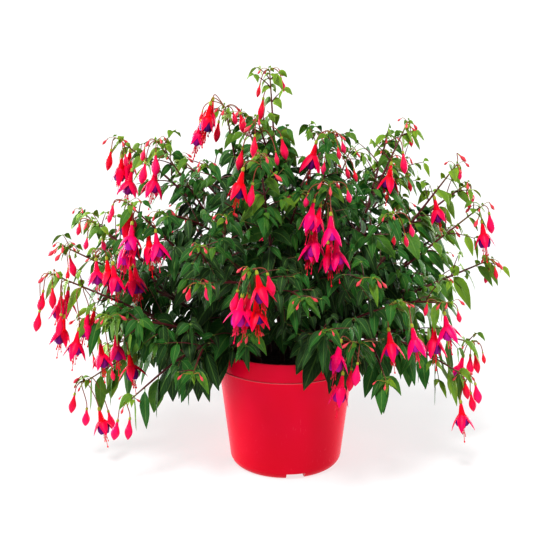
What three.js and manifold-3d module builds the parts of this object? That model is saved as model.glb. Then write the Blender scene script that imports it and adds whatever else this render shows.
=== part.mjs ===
// Bushy fuchsia in full flower, standing in a round nursery pot.
// Millimetres, +Z up. The origin is the middle of the pot's flat base, and the front faces -Y.
import * as THREE from 'three';
import { mergeVertices } from 'three/addons/utils/BufferGeometryUtils.js';
import Module from 'manifold-3d';

const wasm = await Module();
wasm.setup();

// Driving dimensions
const RIM_DIAMETER = 151;
const POT_HEIGHT = 134;
const BASE_DIAMETER = 104;
const POT_WALL = 1.6;
const SOIL_LEVEL = 120;
const STEM_DIAMETER = 4.8;
const LEAF_LENGTH = 48;
const SEPAL_LENGTH = 23;
const BUD_LENGTH = 24;
const CLEAR = 0.3; // gap kept between neighbouring pieces
const FINEST_EDGE = 0.03;

const UP = new THREE.Vector3(0, 0, 1);

// The plant. Each branch stands in its own hole in the soil at [x, y].
// A shoot is [shoot it leaves, how far along that, tip x, tip y, tip z, arch].
// The first shoot rises from the soil, and arch is how far it bows above a straight line.
const BRANCHES = {
  stem_top: {
    hole: [2, 6],
    shoots: [
      [0, 0, -17, -10, 423, 0],
      [0, 0.6, -29, -42, 378, 6],
      [0, 0.45, 50, 66, 350, 8],
      [0, 0.5, -48, 68, 372, 8],
      [0, 0.35, 14, -62, 306, 8],
    ],
  },
  stem_crown_left: {
    hole: [-18, 6],
    shoots: [
      [0, 0, -62, -6, 386, 8],
      [0, 0.12, -129, -30, 354, 20],
      [1, 0.45, -176, 20, 351, 14],
      [0, 0.5, -78, -70, 338, 8],
      [0, 0.45, -118, 78, 325, 10],
      [1, 0.4, -124, -58, 288, 10],
    ],
  },
  stem_left: {
    hole: [-38, 12],
    shoots: [
      [0, 0, -233, -5, 241, 10],
      [0, 0.45, -222, 48, 268, 8],
      [0, 0.4, -196, -32, 272, 14],
      [0, 0.35, -215, 95, 205, 10],
    ],
  },
  stem_left_near: {
    hole: [-30, -12],
    shoots: [
      [0, 0, -154, -80, 301, 26],
      [0, 0.35, -83, -130, 269, 10],
      [0, 0.3, -58, -108, 292, 12],
    ],
  },
  stem_low_left: {
    hole: [-40, -22],
    shoots: [
      [0, 0, -235, -55, 223, 0],
      [0, 0.4, -209, -42, 172, 16],
      [0, 0.25, -174, -92, 189, 8],
    ],
  },
  stem_skirt_left: {
    hole: [-46, -4],
    shoots: [
      [0, 0, -215, -16, 95, 60],
      [0, 0.4, -200, 60, 110, 12],
    ],
  },
  stem_skirt_near: {
    hole: [-28, -36],
    shoots: [
      [0, 0, -160, -78, 97, 62],
      [0, 0.4, -92, -112, 137, 10],
      [0, 0.25, -36, -116, 178, 16],
    ],
  },
  stem_front: {
    hole: [-4, -22],
    shoots: [
      [0, 0, -26, -95, 350, 12],
      [0, 0.25, -34, -161, 254, 10],
      [1, 0.3, -81, -142, 237, 8],
      [0, 0.3, 14, -165, 228, 12],
    ],
  },
  stem_front_low: {
    hole: [14, -38],
    shoots: [
      [0, 0, 70, -122, 172, 22],
      [0, 0.3, 107, -112, 210, 12],
      [0, 0.25, 36, -160, 196, 8],
    ],
  },
  stem_top_right: {
    hole: [16, 4],
    shoots: [
      [0, 0, 45, -10, 360, 4],
      [0, 0.4, 41, -92, 321, 8],
      [0, 0.45, 72, 88, 330, 8],
      [0, 0.3, 80, -128, 238, 8],
    ],
  },
  stem_high_right: {
    hole: [28, 12],
    shoots: [
      [0, 0, 124, 0, 370, 16],
      [0, 0.6, 107, 34, 349, 4],
      [0, 0.3, 99, -90, 292, 10],
      [0, 0.4, 132, 84, 318, 8],
    ],
  },
  stem_right: {
    hole: [42, 4],
    shoots: [
      [0, 0, 175, 0, 325, 12],
      [0, 0.1, 197, -28, 287, 8],
      [0, 0.6, 194, 38, 300, 4],
      [1, 0.45, 178, 44, 250, 10],
    ],
  },
  stem_right_low: {
    hole: [42, -14],
    shoots: [
      [0, 0, 213, -8, 227, 22],
      [0, 0.35, 162, -72, 198, 10],
      [0, 0.4, 180, 78, 212, 10],
    ],
  },
  stem_skirt_right: {
    hole: [36, -30],
    shoots: [
      [0, 0, 185, -42, 112, 58],
      [0, 0.35, 203, 16, 129, 14],
      [0, 0.3, 98, -112, 129, 14],
    ],
  },
  stem_back_left: {
    hole: [-22, 30],
    shoots: [
      [0, 0, -125, 165, 250, 16],
      [0, 0.25, -20, 215, 235, 12],
      [0, 0.4, -168, 150, 160, 14],
      [1, 0.4, -60, 190, 150, 18],
      [0, 0.3, -42, 132, 325, 10],
    ],
  },
  stem_back_right: {
    hole: [22, 32],
    shoots: [
      [0, 0, 140, 150, 255, 16],
      [0, 0.25, 52, 170, 300, 12],
      [0, 0.4, 185, 120, 175, 14],
      [0, 0.35, 85, 200, 170, 16],
      [1, 0.4, 118, 118, 322, 8],
    ],
  },
};

// Flowers and buds hang from the last stretch of a shoot, or from an earlier one if it is given.
// Each is [kind, x, y, z] from the shoot's tip. A show bloom has its corolla as a piece of its own.
const BACK_BUNCH = [
  ['bloom', -10, 4, -36],
  ['bud', 12, -6, -40],
  ['bud', 6, 12, -26],
];
const SPRAYS = {
  flowers_top: {
    on: ['stem_top', 0],
    hang: [['small', -11, 0, -19], ['small', 13, 6, -14], ['bud', -8, -8, -37]],
  },
  flowers_top_near: {
    on: ['stem_top', 1],
    hang: [
      ['nub', -9, -4, -8], ['bud', -3, -9, -25], ['bud', 26, -2, -28], ['bud', -17, 0, -39],
      ['small', 19, -8, -37],
    ],
  },
  flowers_crown_left: {
    on: ['stem_crown_left', 0],
    hang: [
      ['bloom', -19, -8, -16], ['bloom', -29, 0, -32], ['bud', -9, 8, -25],
      ['small', -25, 2, -10], ['small', 9, 0, -10], ['bud', 17, 2, -16],
    ],
  },
  flowers_high_left: {
    on: ['stem_crown_left', 1],
    hang: [
      ['small', -15, 0, -12], ['bud', -15, -4, -30], ['bud', -2, -8, -21],
      ['show', -6, -4, -45],
    ],
  },
  flowers_far_left: {
    on: ['stem_crown_left', 2],
    hang: [
      ['bud', -10, 0, -22], ['small', 8, -5, -21], ['bloom', 0, 4, -38], ['bloom', 10, -6, -51],
    ],
  },
  flowers_left_upper: {
    on: ['stem_left', 2],
    hang: [['small', -9, 0, -21], ['small', 9, -3, -21], ['small', -16, 0, -6]],
  },
  flowers_left: {
    on: ['stem_left', 0],
    hang: [['nub', -13, 0, -6], ['nub', -6, -5, -10], ['bud', 7, 0, -21], ['small', 1, 6, -31]],
  },
  flowers_left_inner: {
    on: ['stem_left', 0, 5],
    hang: [['bloom', 39, -36, -25], ['bloom', 59, -46, -29], ['bloom', 77, -46, -32]],
  },
  flowers_left_near: {
    on: ['stem_left_near', 0],
    hang: [
      ['small', -16, 0, -7], ['small', -19, 4, -13], ['bloom', -3, 6, -25],
      ['bloom', 2, -8, -38], ['bloom', -6, 2, -54], ['bloom', 28, -8, -45],
    ],
  },
  flowers_low_left: {
    on: ['stem_low_left', 0],
    hang: [
      ['nub', -12, -2, -4], ['bud', -14, 0, -27], ['bud', -1, -8, -21], ['bud', -18, -4, -47],
      ['bloom', 2, 6, -40], ['bud', 5, -8, -50], ['bloom', 3, 4, -66], ['show', 19, -4, -77],
      ['bloom', 28, 6, -60],
    ],
  },
  flowers_low_left_inner: {
    on: ['stem_low_left', 1],
    hang: [
      ['bloom', 18, -6, -43], ['bloom', 34, -8, -34], ['small', 28, -4, -58],
      ['small', 9, 0, -45], ['bloom', 50, -16, -52],
    ],
  },
  flowers_skirt_left: {
    on: ['stem_skirt_left', 0],
    hang: [
      ['nub', -9, 0, 2], ['bud', -14, -4, -23], ['bud', -2, 4, -42], ['bud', 25, 0, -44],
      ['bloom', 18, -8, -49],
    ],
  },
  flowers_skirt_near: {
    on: ['stem_skirt_near', 0],
    hang: [['bud', -15, 0, -32], ['bud', -1, -4, -29]],
  },
  flowers_front: {
    on: ['stem_front', 0],
    hang: [
      ['bloom', -20, -4, -33], ['bud', -8, -8, -36], ['small', 9, 0, -8], ['nub', 17, -4, -20],
    ],
  },
  flowers_front_left: {
    on: ['stem_front', 1],
    hang: [
      ['bud', -14, 4, -30], ['small', -4, 6, -29], ['bud', 18, 0, -13], ['bloom', 10, -6, -21],
      ['bloom', -11, -6, -43], ['show', 6, 2, -46],
    ],
  },
  flowers_front_small: {
    on: ['stem_front', 2],
    hang: [['small', -11, 0, -10], ['small', 6, -4, -8]],
  },
  flowers_over_pot: {
    on: ['stem_front_low', 0],
    hang: [
      ['bloom', -22, 0, -20], ['bloom', -19, -8, -49], ['bud', -8, 4, -38],
      ['bud', -3, -6, -29],
    ],
  },
  flowers_near_right: {
    on: ['stem_front_low', 1],
    hang: [['show', -5, 0, -48], ['show', 18, -4, -42]],
  },
  flowers_top_right: {
    on: ['stem_top_right', 0],
    hang: [
      ['bloom', -19, 0, -29], ['small', -7, -11, -33], ['small', 13, 0, -13],
      ['small', 8, -9, -18], ['small', 18, 4, -40], ['small', 26, 2, -43],
    ],
  },
  flowers_middle: {
    on: ['stem_top_right', 1],
    hang: [
      ['small', -22, 4, -15], ['small', 18, 0, -10], ['bloom', -19, -2, -35],
      ['show', 1, -14, -46], ['bloom', -15, 4, -64], ['show', 8, -4, -72],
    ],
  },
  flowers_high_right: {
    on: ['stem_high_right', 0],
    hang: [
      ['nub', 8, 0, -8], ['small', 5, 4, -18], ['bud', -3, -6, -40], ['small', 5, 4, -65],
      ['show', -18, -4, -62],
    ],
  },
  flowers_near_right_small: {
    on: ['stem_high_right', 2],
    hang: [['small', 4, 0, -23], ['small', 21, -4, -14], ['small', 17, 4, -26]],
  },
  flowers_right: {
    on: ['stem_right', 0],
    hang: [['nub', 7, 0, 9], ['small', 4, -4, -6], ['bloom', -16, 0, -52]],
  },
  flowers_right_small: {
    on: ['stem_right', 2],
    hang: [['small', 6, -2, -12], ['small', 1, 0, -13], ['small', 4, 3, -21]],
  },
  flowers_right_near: {
    on: ['stem_right', 1],
    hang: [['bud', 13, 6, -17], ['bloom', 5, -8, -33], ['nub', -4, -8, -14]],
  },
  flowers_right_low: {
    on: ['stem_right_low', 0],
    hang: [['small', -1, 0, -18], ['small', 7, -5, -12], ['nub', 10, 2, -5]],
  },
  flowers_right_inner: {
    on: ['stem_right_low', 1],
    hang: [
      ['small', 11, 0, -13], ['small', -22, 0, -6], ['bloom', 1, 0, -31],
      ['bloom', -11, 8, -48],
    ],
  },
  flowers_skirt_right: {
    on: ['stem_skirt_right', 0],
    hang: [['bud', 4, 0, -16], ['bud', 15, -4, -19], ['bud', 12, 5, -32], ['show', 1, -4, -50]],
  },
  flowers_edge_right: {
    on: ['stem_skirt_right', 1],
    hang: [
      ['bud', 0, 0, -26], ['bud', 6, -4, -23], ['small', 15, 3, -19], ['bloom', -11, 6, -37],
    ],
  },
  flowers_back_left: { on: ['stem_back_left', 0], hang: BACK_BUNCH },
  flowers_back: { on: ['stem_back_left', 1], hang: BACK_BUNCH },
  flowers_back_right: { on: ['stem_back_right', 0], hang: BACK_BUNCH },
  flowers_back_high: { on: ['stem_back_right', 1], hang: BACK_BUNCH },
};

// Repeatable draws, spaced so that no two leaves or flowers share one
const DRAW_RATE = 12.9898;
const DRAW_SPREAD = 43758.5453;
const BRANCH_DRAWS = 997;
const SHOOT_DRAWS = 101;
const PAIR_DRAWS = 7;
const HALF_DRAWS = 3;
const SPRAY_DRAWS = 31;

// One draw from 0 to 1 for each number
function chance(number) {
  const wave = Math.sin(number * DRAW_RATE) * DRAW_SPREAD;
  return wave - Math.floor(wave);
}

function between(number, [low, high]) {
  return low + (high - low) * chance(number);
}

function spot(x, y, z) {
  return new THREE.Vector3(x, y, z);
}

// A point moved by amounts of some directions, given in pairs
function moved(point, ...pairs) {
  const result = point.clone();
  for (let k = 0; k < pairs.length; k += 2) {
    result.addScaledVector(pairs[k], pairs[k + 1]);
  }
  return result;
}

// Rings of points joined into a skin, with flat ends unless it is open. A ring of one point is a tip.
function skin(rings, open = false) {
  const corners = [];
  for (let k = 1; k < rings.length; k += 1) {
    const near = rings[k - 1];
    const far = rings[k];
    const count = Math.max(near.length, far.length);
    for (let i = 0; i < count; i += 1) {
      const j = (i + 1) % count;
      if (near.length > 1) {
        corners.push(near[i], near[j], far.length > 1 ? far[j] : far[0]);
      }
      if (far.length > 1) {
        corners.push(near.length > 1 ? near[i] : near[0], far[j], far[i]);
      }
    }
  }
  if (!open) {
    corners.push(...endCap(rings[0]), ...endCap([...rings.at(-1)].reverse()));
  }
  return corners;
}

// The flat end of a skin, as seen looking back along it
function endCap(ring) {
  const corners = [];
  for (let i = 1; i < ring.length - 1; i += 1) {
    corners.push(ring[0], ring[i + 1], ring[i]);
  }
  return corners;
}

function solidOfGeometry(geometry) {
  const plain = geometry.clone();
  plain.deleteAttribute('normal');
  plain.deleteAttribute('uv');
  const joined = mergeVertices(plain, 1e-4);
  const mesh = new wasm.Mesh({
    numProp: 3,
    vertProperties: new Float32Array(joined.attributes.position.array),
    triVerts: new Uint32Array(joined.index.array),
  });
  return new wasm.Manifold(mesh);
}

function solidOfSkin(corners) {
  return solidOfGeometry(new THREE.BufferGeometry().setFromPoints(corners));
}

// The largest body of a solid, without the loose scraps and sealed hollows that joining can leave
function mainBody(solid) {
  return solid.decompose().sort((a, b) => b.volume() - a.volume())[0];
}

// Solids fused into one body, with the slivers where they meet smoothed away
function join(solids) {
  return mainBody(wasm.Manifold.union(solids)).simplify(FINEST_EDGE);
}

// A round ring about a centre, in the plane of two square directions
function roundRing(centre, across, up, radius, sides, turn = 0) {
  const points = [];
  for (let i = 0; i < sides; i += 1) {
    const angle = turn + (2 * Math.PI * i) / sides;
    points.push(moved(centre, across, radius * Math.cos(angle), up, radius * Math.sin(angle)));
  }
  return points;
}

function turned(profile, segments) {
  const points = profile.map(([radius, height]) => new THREE.Vector2(radius, height));
  const geometry = new THREE.LatheGeometry(points, segments);
  geometry.rotateX(Math.PI / 2);
  return solidOfGeometry(geometry);
}

function upright(x, y, bottom, radius, height, sides) {
  const geometry = new THREE.CylinderGeometry(radius, radius, height, sides);
  geometry.rotateX(Math.PI / 2);
  geometry.translate(x, y, bottom + height / 2);
  return solidOfGeometry(geometry);
}

// Pot
const POT_SEGMENTS = 28;
const RIM_RADIUS = RIM_DIAMETER / 2;
const RIM_BAND = 21;
const RIM_ROUNDING = 1.1;
const BAND_STEP = 2.6;
const BAND_SLOPE = 1;
const BASE_RADIUS = BASE_DIAMETER / 2;
const FOOT_HEIGHT = 11; // of the rounding from the flat base out to the wall
const FOOT_SPREAD = 9;
const FOOT_STEPS = 3;
const CHANNEL_COUNT = 4;
const CHANNEL_WIDTH = 20;
const CHANNEL_HEIGHT = 7;
const CHANNEL_START = 30;
const FIRST_CHANNEL = THREE.MathUtils.degToRad(280);
const DRAIN_RADIUS = 5;
const DRAIN_SIDES = 8;
const OVERRUN = 1; // how far a cut runs past the pot's faces

function footCurve() {
  const points = [];
  for (let i = 0; i <= FOOT_STEPS; i += 1) {
    const angle = (i / FOOT_STEPS) * (Math.PI / 2);
    const radius = BASE_RADIUS + FOOT_SPREAD * Math.sin(angle);
    points.push([radius, FOOT_HEIGHT * (1 - Math.cos(angle))]);
  }
  return points;
}

function potOutline() {
  const bandBottom = POT_HEIGHT - RIM_BAND;
  return [
    [0, 0],
    ...footCurve(),
    [RIM_RADIUS - BAND_STEP, bandBottom - BAND_SLOPE],
    [RIM_RADIUS, bandBottom],
    [RIM_RADIUS, POT_HEIGHT - RIM_ROUNDING],
    [RIM_RADIUS - RIM_ROUNDING, POT_HEIGHT],
    [0, POT_HEIGHT],
  ];
}

// Radius of the pot's inside at a height above its foot
function insideRadius(height) {
  const footWall = BASE_RADIUS + FOOT_SPREAD - POT_WALL;
  const topWall = RIM_RADIUS - BAND_STEP - POT_WALL;
  const share = (height - FOOT_HEIGHT) / (POT_HEIGHT - RIM_BAND - FOOT_HEIGHT);
  return footWall + (topWall - footWall) * share;
}

function cavityOutline() {
  const top = POT_HEIGHT + OVERRUN;
  return [
    [0, POT_WALL],
    [BASE_RADIUS - POT_WALL / 2, POT_WALL],
    [insideRadius(FOOT_HEIGHT), FOOT_HEIGHT],
    [insideRadius(top), top],
    [0, top],
  ];
}

// A bar that lies across the pot's base from near its middle out past its edge
function channelBar(bearing, start, width, height) {
  const length = RIM_RADIUS - start;
  const geometry = new THREE.BoxGeometry(length, width, height);
  geometry.translate(start + length / 2, 0, height / 2);
  geometry.rotateZ(bearing);
  return solidOfGeometry(geometry);
}

// A notch under the base with its drain hole, and the raised floor that the pot keeps over it
function makeChannel(order) {
  const bearing = FIRST_CHANNEL + (2 * Math.PI * order) / CHANNEL_COUNT;
  const drainAt = CHANNEL_START + CHANNEL_WIDTH / 2;
  const x = drainAt * Math.cos(bearing);
  const y = drainAt * Math.sin(bearing);
  const roofWidth = CHANNEL_WIDTH + 2 * POT_WALL;
  return {
    notch: channelBar(bearing, CHANNEL_START, CHANNEL_WIDTH, CHANNEL_HEIGHT),
    drain: upright(x, y, -OVERRUN, DRAIN_RADIUS, FOOT_HEIGHT, DRAIN_SIDES),
    roof: channelBar(bearing, CHANNEL_START - POT_WALL, roofWidth, CHANNEL_HEIGHT + POT_WALL),
  };
}

function makePot() {
  const outside = turned(potOutline(), POT_SEGMENTS);
  const inside = turned(cavityOutline(), POT_SEGMENTS);
  const channels = Array.from({ length: CHANNEL_COUNT }, (_, order) => makeChannel(order));
  const cavity = inside.subtract(wasm.Manifold.union(channels.map(({ roof }) => roof)));
  const holes = channels.flatMap(({ notch, drain }) => [notch, drain]);
  return mainBody(outside.subtract(wasm.Manifold.union([cavity, ...holes])));
}

// Soil
const SOIL_SEGMENTS = 18;
const SOIL_BOTTOM = CHANNEL_HEIGHT + POT_WALL + CLEAR;
const SOIL_CORNER = 2.5; // how much narrower the soil starts than the wall's slope
const SOIL_DIP = 3; // how much lower the soil lies along the pot's wall
const SOIL_CREST = 0.7;

function makeSoil() {
  const fit = Math.cos(Math.PI / POT_SEGMENTS);
  const edge = (height) => insideRadius(height) * fit - 2 * CLEAR;
  const body = turned(
    [
      [0, SOIL_BOTTOM],
      [edge(SOIL_BOTTOM) - SOIL_CORNER, SOIL_BOTTOM],
      [edge(FOOT_HEIGHT), FOOT_HEIGHT],
      [edge(SOIL_LEVEL), SOIL_LEVEL - SOIL_DIP],
      [edge(SOIL_LEVEL) * SOIL_CREST, SOIL_LEVEL],
      [0, SOIL_LEVEL],
    ],
    SOIL_SEGMENTS,
  );
  const across = (STEM_RADIUS + CLEAR) / Math.cos(Math.PI / HOLE_SIDES);
  const holes = Object.values(BRANCHES).map(({ hole: [x, y] }) =>
    upright(x, y, SOIL_LEVEL - HOLE_DEPTH, across, HOLE_DEPTH * 2, HOLE_SIDES),
  );
  return mainBody(body.subtract(wasm.Manifold.union(holes)));
}

// Stems and shoots
const STEM_RADIUS = STEM_DIAMETER / 2;
const SIDE_SHOOT_RADIUS = 1.5;
const SHOOT_TIP_RADIUS = 1;
const FIRST_SHOOT_STRETCHES = 6;
const FIRST_SHOOT_SIDES = 4;
const SIDE_SHOOT_STRETCHES = 3;
const SIDE_SHOOT_SIDES = 3;
const SHOOT_TURN = 0.4; // keeps a shoot's edges off the leaves' flat undersides
const LATE_ARCH = 0.4; // the share of its arch that a shoot keeps towards its tip
const HOLE_DEPTH = 25;
const HOLE_SIDES = 6;
const COLLAR_HEIGHT = 7; // how far a stem stands straight up out of the soil

// The places that a shoot passes through, its radii there and the level direction square to it
function planShoot(start, tip, arch, radius, stretches) {
  const lean = spot(tip.x - start.x, tip.y - start.y, 0).normalize();
  const curve = new THREE.CubicBezierCurve3(
    start,
    moved(start.clone().lerp(tip, 1 / 3), UP, arch),
    moved(start.clone().lerp(tip, 2 / 3), UP, arch * LATE_ARCH),
    tip,
  );
  const side = UP.clone().cross(lean);
  const places = [];
  for (let k = 0; k <= stretches; k += 1) {
    const along = k / stretches;
    places.push({
      centre: curve.getPoint(along),
      over: curve.getTangent(along).cross(side),
      radius: radius + (SHOOT_TIP_RADIUS - radius) * along,
    });
  }
  return { side, places, length: start.distanceTo(tip) };
}

// The point on a shoot's middle line, and the way it runs there
function placeOn(shoot, along) {
  const stretches = shoot.places.length - 1;
  const count = Math.min(Math.floor(along * stretches), stretches - 1);
  const near = shoot.places[count].centre;
  const far = shoot.places[count + 1].centre;
  return {
    point: near.clone().lerp(far, along * stretches - count),
    travel: far.clone().sub(near).normalize(),
  };
}

function planBranch({ hole: [x, y], shoots }) {
  const foot = spot(x, y, SOIL_LEVEL + COLLAR_HEIGHT);
  const planned = [];
  shoots.forEach(([parent, along, tipX, tipY, tipZ, arch], order) => {
    const first = order === 0;
    const start = first ? foot : placeOn(planned[parent], along).point;
    const radius = first ? STEM_RADIUS : SIDE_SHOOT_RADIUS;
    const stretches = first ? FIRST_SHOOT_STRETCHES : SIDE_SHOOT_STRETCHES;
    planned.push(planShoot(start, spot(tipX, tipY, tipZ), arch, radius, stretches));
  });
  return planned;
}

function makeShoot(shoot, rooted) {
  const sides = rooted ? FIRST_SHOOT_SIDES : SIDE_SHOOT_SIDES;
  const rings = shoot.places.map(({ centre, over, radius }) =>
    roundRing(centre, shoot.side, over, radius, sides, SHOOT_TURN),
  );
  if (rooted) {
    const bottom = shoot.places[0].centre.clone();
    bottom.z = SOIL_LEVEL - HOLE_DEPTH + CLEAR;
    const level = UP.clone().cross(shoot.side);
    rings.unshift(roundRing(bottom, shoot.side, level, STEM_RADIUS, sides, SHOOT_TURN));
  }
  return solidOfSkin(skin(rings));
}

// Leaves
const LEAF_GAP = 71; // between the pairs of leaves along a shoot
const BARE_SHARE = 0.21; // of a shoot, before its first leaves
const PAIR_PLACE = 0.9; // a pair's place in its own stretch of the shoot
const LAST_PLACE = 0.97;
const SPIN_CHANCE = [-0.45, 0.45]; // radians
const FLATTENING = 0.7; // how far leaves that spring from above and below turn level
const FORWARD = 0.55; // how far a leaf leans along its shoot
const DROOP = [0.25, 0.6];
const LEAF_SAG = [0.2, 0.5];
const SIZE_CHANCE = [0.85, 1.15];
const SIDE_SHOOT_YOUTH = 0.35; // a side shoot's first leaves are smaller than a stem's
const TIP_SHRINK = 0.5; // how much shorter the leaves at a tip are
const LEAF_WIDTH_RATIO = 0.46;
const LEAF_WIDEST = 0.4; // share of the length
const LEAF_RIDGE_RATIO = 0.26; // height of the midrib, as a share of half the width
const BROAD_LEAF = 33; // a longer leaf has rounder shoulders
const SHOULDER_PLACE = 0.74;
const SHOULDER_WIDTH = 0.72;
const LEAF_FACING = 60; // leaves above this height face up more than outwards
const LEAF_BENDS = [0, 0.6, -0.6, 1.3]; // turns up or down, tried until a leaf is clear

// Opposite pairs along a shoot, each pair turned a quarter from the last, smaller towards the tip
function planLeaves(shoot, rooted, seed) {
  const leaves = [];
  const pairs = Math.max(1, Math.round((shoot.length * (1 - BARE_SHARE)) / LEAF_GAP));
  for (let pair = 0; pair < pairs; pair += 1) {
    const along = BARE_SHARE + ((1 - BARE_SHARE) * (pair + PAIR_PLACE)) / pairs;
    const place = Math.min(along, LAST_PLACE);
    const { point, travel } = placeOn(shoot, place);
    const over = travel.clone().cross(shoot.side);
    const youth = rooted ? place ** 3 : THREE.MathUtils.lerp(SIDE_SHOOT_YOUTH, 1, place ** 2);
    for (const half of [0, 1]) {
      const draw = seed + pair * PAIR_DRAWS + half * HALF_DRAWS;
      const spin = Math.PI * (half + (pair % 2) / 2) + between(draw, SPIN_CHANCE);
      const direction = moved(
        travel.clone().multiplyScalar(FORWARD),
        shoot.side,
        Math.cos(spin),
        over,
        FLATTENING * Math.sin(spin),
        UP,
        -between(draw + 1, DROOP),
      );
      leaves.push({
        pair,
        root: point,
        direction: direction.normalize(),
        length: LEAF_LENGTH * (1 - TIP_SHRINK * youth) * between(draw + 2, SIZE_CHANCE),
        sag: between(draw + 3, LEAF_SAG),
      });
    }
  }
  return leaves;
}

// One blade, creased along its midrib and hanging over at its tip, which faces up and out
function makeLeaf({ root, direction, length, sag }, bend) {
  const heading = moved(direction, UP, bend).normalize();
  const outward = spot(root.x, root.y, LEAF_FACING).normalize();
  const halfWidth = (length * LEAF_WIDTH_RATIO) / 2;
  const at = (share) => moved(root, heading, length * share, UP, -length * sag * share ** 2);
  const section = (share, half) => {
    const travel = moved(heading, UP, -2 * sag * share).normalize();
    const across = outward.clone().cross(travel).normalize();
    const face = travel.clone().cross(across);
    const centre = at(share);
    return [
      moved(centre, across, half),
      moved(centre, face, half * LEAF_RIDGE_RATIO),
      moved(centre, across, -half),
    ];
  };
  const rings = [[root], section(LEAF_WIDEST, halfWidth), [at(1)]];
  if (length > BROAD_LEAF) {
    rings.splice(2, 0, section(SHOULDER_PLACE, halfWidth * SHOULDER_WIDTH));
  }
  return solidOfSkin(skin(rings));
}

// Flowers
const FLOWER_SIDES = 4; // a fuchsia's sepals and petals come in fours
const STALK_RADIUS = 0.8;
const STALK_DROP = 18; // how far above a flower its stalk starts
const FLOWER_LEAN = 0.22; // how far flowers point away from their shoot
const NUB_LEAN = 1.1;
const BUD_RADIUS = 4.4;
const BUD_WIDEST = 0.62; // share of the length
const BUD_SIZES = { bud: 1, small: 0.62, nub: 0.5 }; // of grown, half-grown and young buds
const OVARY_LENGTH = 3;
const OVARY_RADIUS = 1.8;
const TUBE_LENGTH = 13; // ovary and tube together
const MOUTH_RADIUS = 3.3;
const STYLE_LENGTH = 27;
const COLUMN_RADIUS = 0.85; // style and stamens together
const BLOOM_MIDDLE = 9; // from the tube's mouth down to the middle of the bloom
const BLOOM_SCALE = [0.92, 1.08];

// A half-open flower: its sepals part below the end of its tube
const BELL_DEPTH = 4;
const BELL_RADIUS = 4.8;
const SEPAL_ROOT = 2.6;
const HANGING_SHARE = 0.72; // how far down a hanging sepal reaches, as a share of its length
const HANGING_SPREAD = [0.3, 0.65];
const FOLDED_LENGTH = 9; // of its corolla
const FOLDED_RADIUS = 4.6;

// A wide open flower
const SEPAL_WIDTH = 7.6;
const SEPAL_THICKNESS = 0.9;
const SEPAL_OPENING = 0.85; // radians from straight down
const SEPAL_WIDEST = 0.5; // share of the length
const SEPAL_TIP_OPENING = 0.64;
const COROLLA_START = 2.6;
const COROLLA_NECK = 2.1;
const COROLLA_BORE = COLUMN_RADIUS + 0.4;
const COROLLA_RADIUS = 6;
const COROLLA_LENGTH = 11.5;
const PETAL_THICKNESS = 1.2;
const PETAL_WAVE = 1;

// Where a flower hangs: the direction it points in and the directions square to that
function hangFrom(start, middle, kind) {
  const level = spot(middle.x - start.x, middle.y - start.y, 0);
  const outward = level.length() > 1 ? level.normalize() : spot(0, -1, 0);
  const lean = kind === 'nub' ? NUB_LEAN : FLOWER_LEAN;
  const down = moved(outward.clone().multiplyScalar(lean), UP, -1).normalize();
  const side = UP.clone().cross(outward);
  return { down, side, front: down.clone().cross(side) };
}

function stalkRing(start, end, side, centre) {
  const travel = end.clone().sub(start).normalize();
  return roundRing(centre, side, travel.cross(side), STALK_RADIUS, FLOWER_SIDES);
}

// A bud: its stalk, a short tube and a pointed drop
function makeBud(start, middle, kind) {
  const { down, side, front } = hangFrom(start, middle, kind);
  const size = BUD_SIZES[kind];
  const top = moved(middle, down, (-BUD_LENGTH * size) / 2);
  const belly = moved(top, down, BUD_LENGTH * size * BUD_WIDEST);
  const rings = [
    stalkRing(start, top, side, start),
    stalkRing(start, top, side, top),
    roundRing(belly, side, front, BUD_RADIUS * size, FLOWER_SIDES),
    [moved(top, down, BUD_LENGTH * size)],
  ];
  return solidOfSkin(skin(rings));
}

// A half-open flower, whose four sepals still hang close round its folded corolla
function makeBloom(start, middle, seed) {
  const { down, side, front } = hangFrom(start, middle, 'bloom');
  const scale = between(seed, BLOOM_SCALE);
  const mouth = moved(middle, down, -BLOOM_MIDDLE * scale);
  const ringAt = (drop, radius, turn = 0) => {
    const centre = moved(mouth, down, drop * scale);
    return roundRing(centre, side, front, radius * scale, FLOWER_SIDES, turn);
  };
  const ovary = ringAt(OVARY_LENGTH - TUBE_LENGTH, OVARY_RADIUS);
  const outer = ringAt(BELL_DEPTH, BELL_RADIUS);
  const inner = ringAt(BELL_DEPTH - 1, BELL_RADIUS - SEPAL_ROOT);
  const points = ringAt(
    BELL_DEPTH + SEPAL_LENGTH * HANGING_SHARE,
    BELL_RADIUS + SEPAL_LENGTH * between(seed + 1, HANGING_SPREAD),
    Math.PI / FLOWER_SIDES,
  );
  const corolla = ringAt(BELL_DEPTH + FOLDED_LENGTH, FOLDED_RADIUS);
  const heart = ringAt(BELL_DEPTH + FOLDED_LENGTH - 1, COLUMN_RADIUS);
  const stalk = [stalkRing(start, ovary[0], side, start), ovary, outer];
  const corners = [...skin(stalk, true), ...endCap(stalk[0])];
  corners.push(...skin([inner, corolla, heart, [moved(mouth, down, STYLE_LENGTH * scale)]], true));
  for (let i = 0; i < FLOWER_SIDES; i += 1) {
    const j = (i + 1) % FLOWER_SIDES;
    corners.push(...skin([[outer[i], outer[j], inner[j], inner[i]], [points[i]]], true));
  }
  return solidOfSkin(corners);
}

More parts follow.
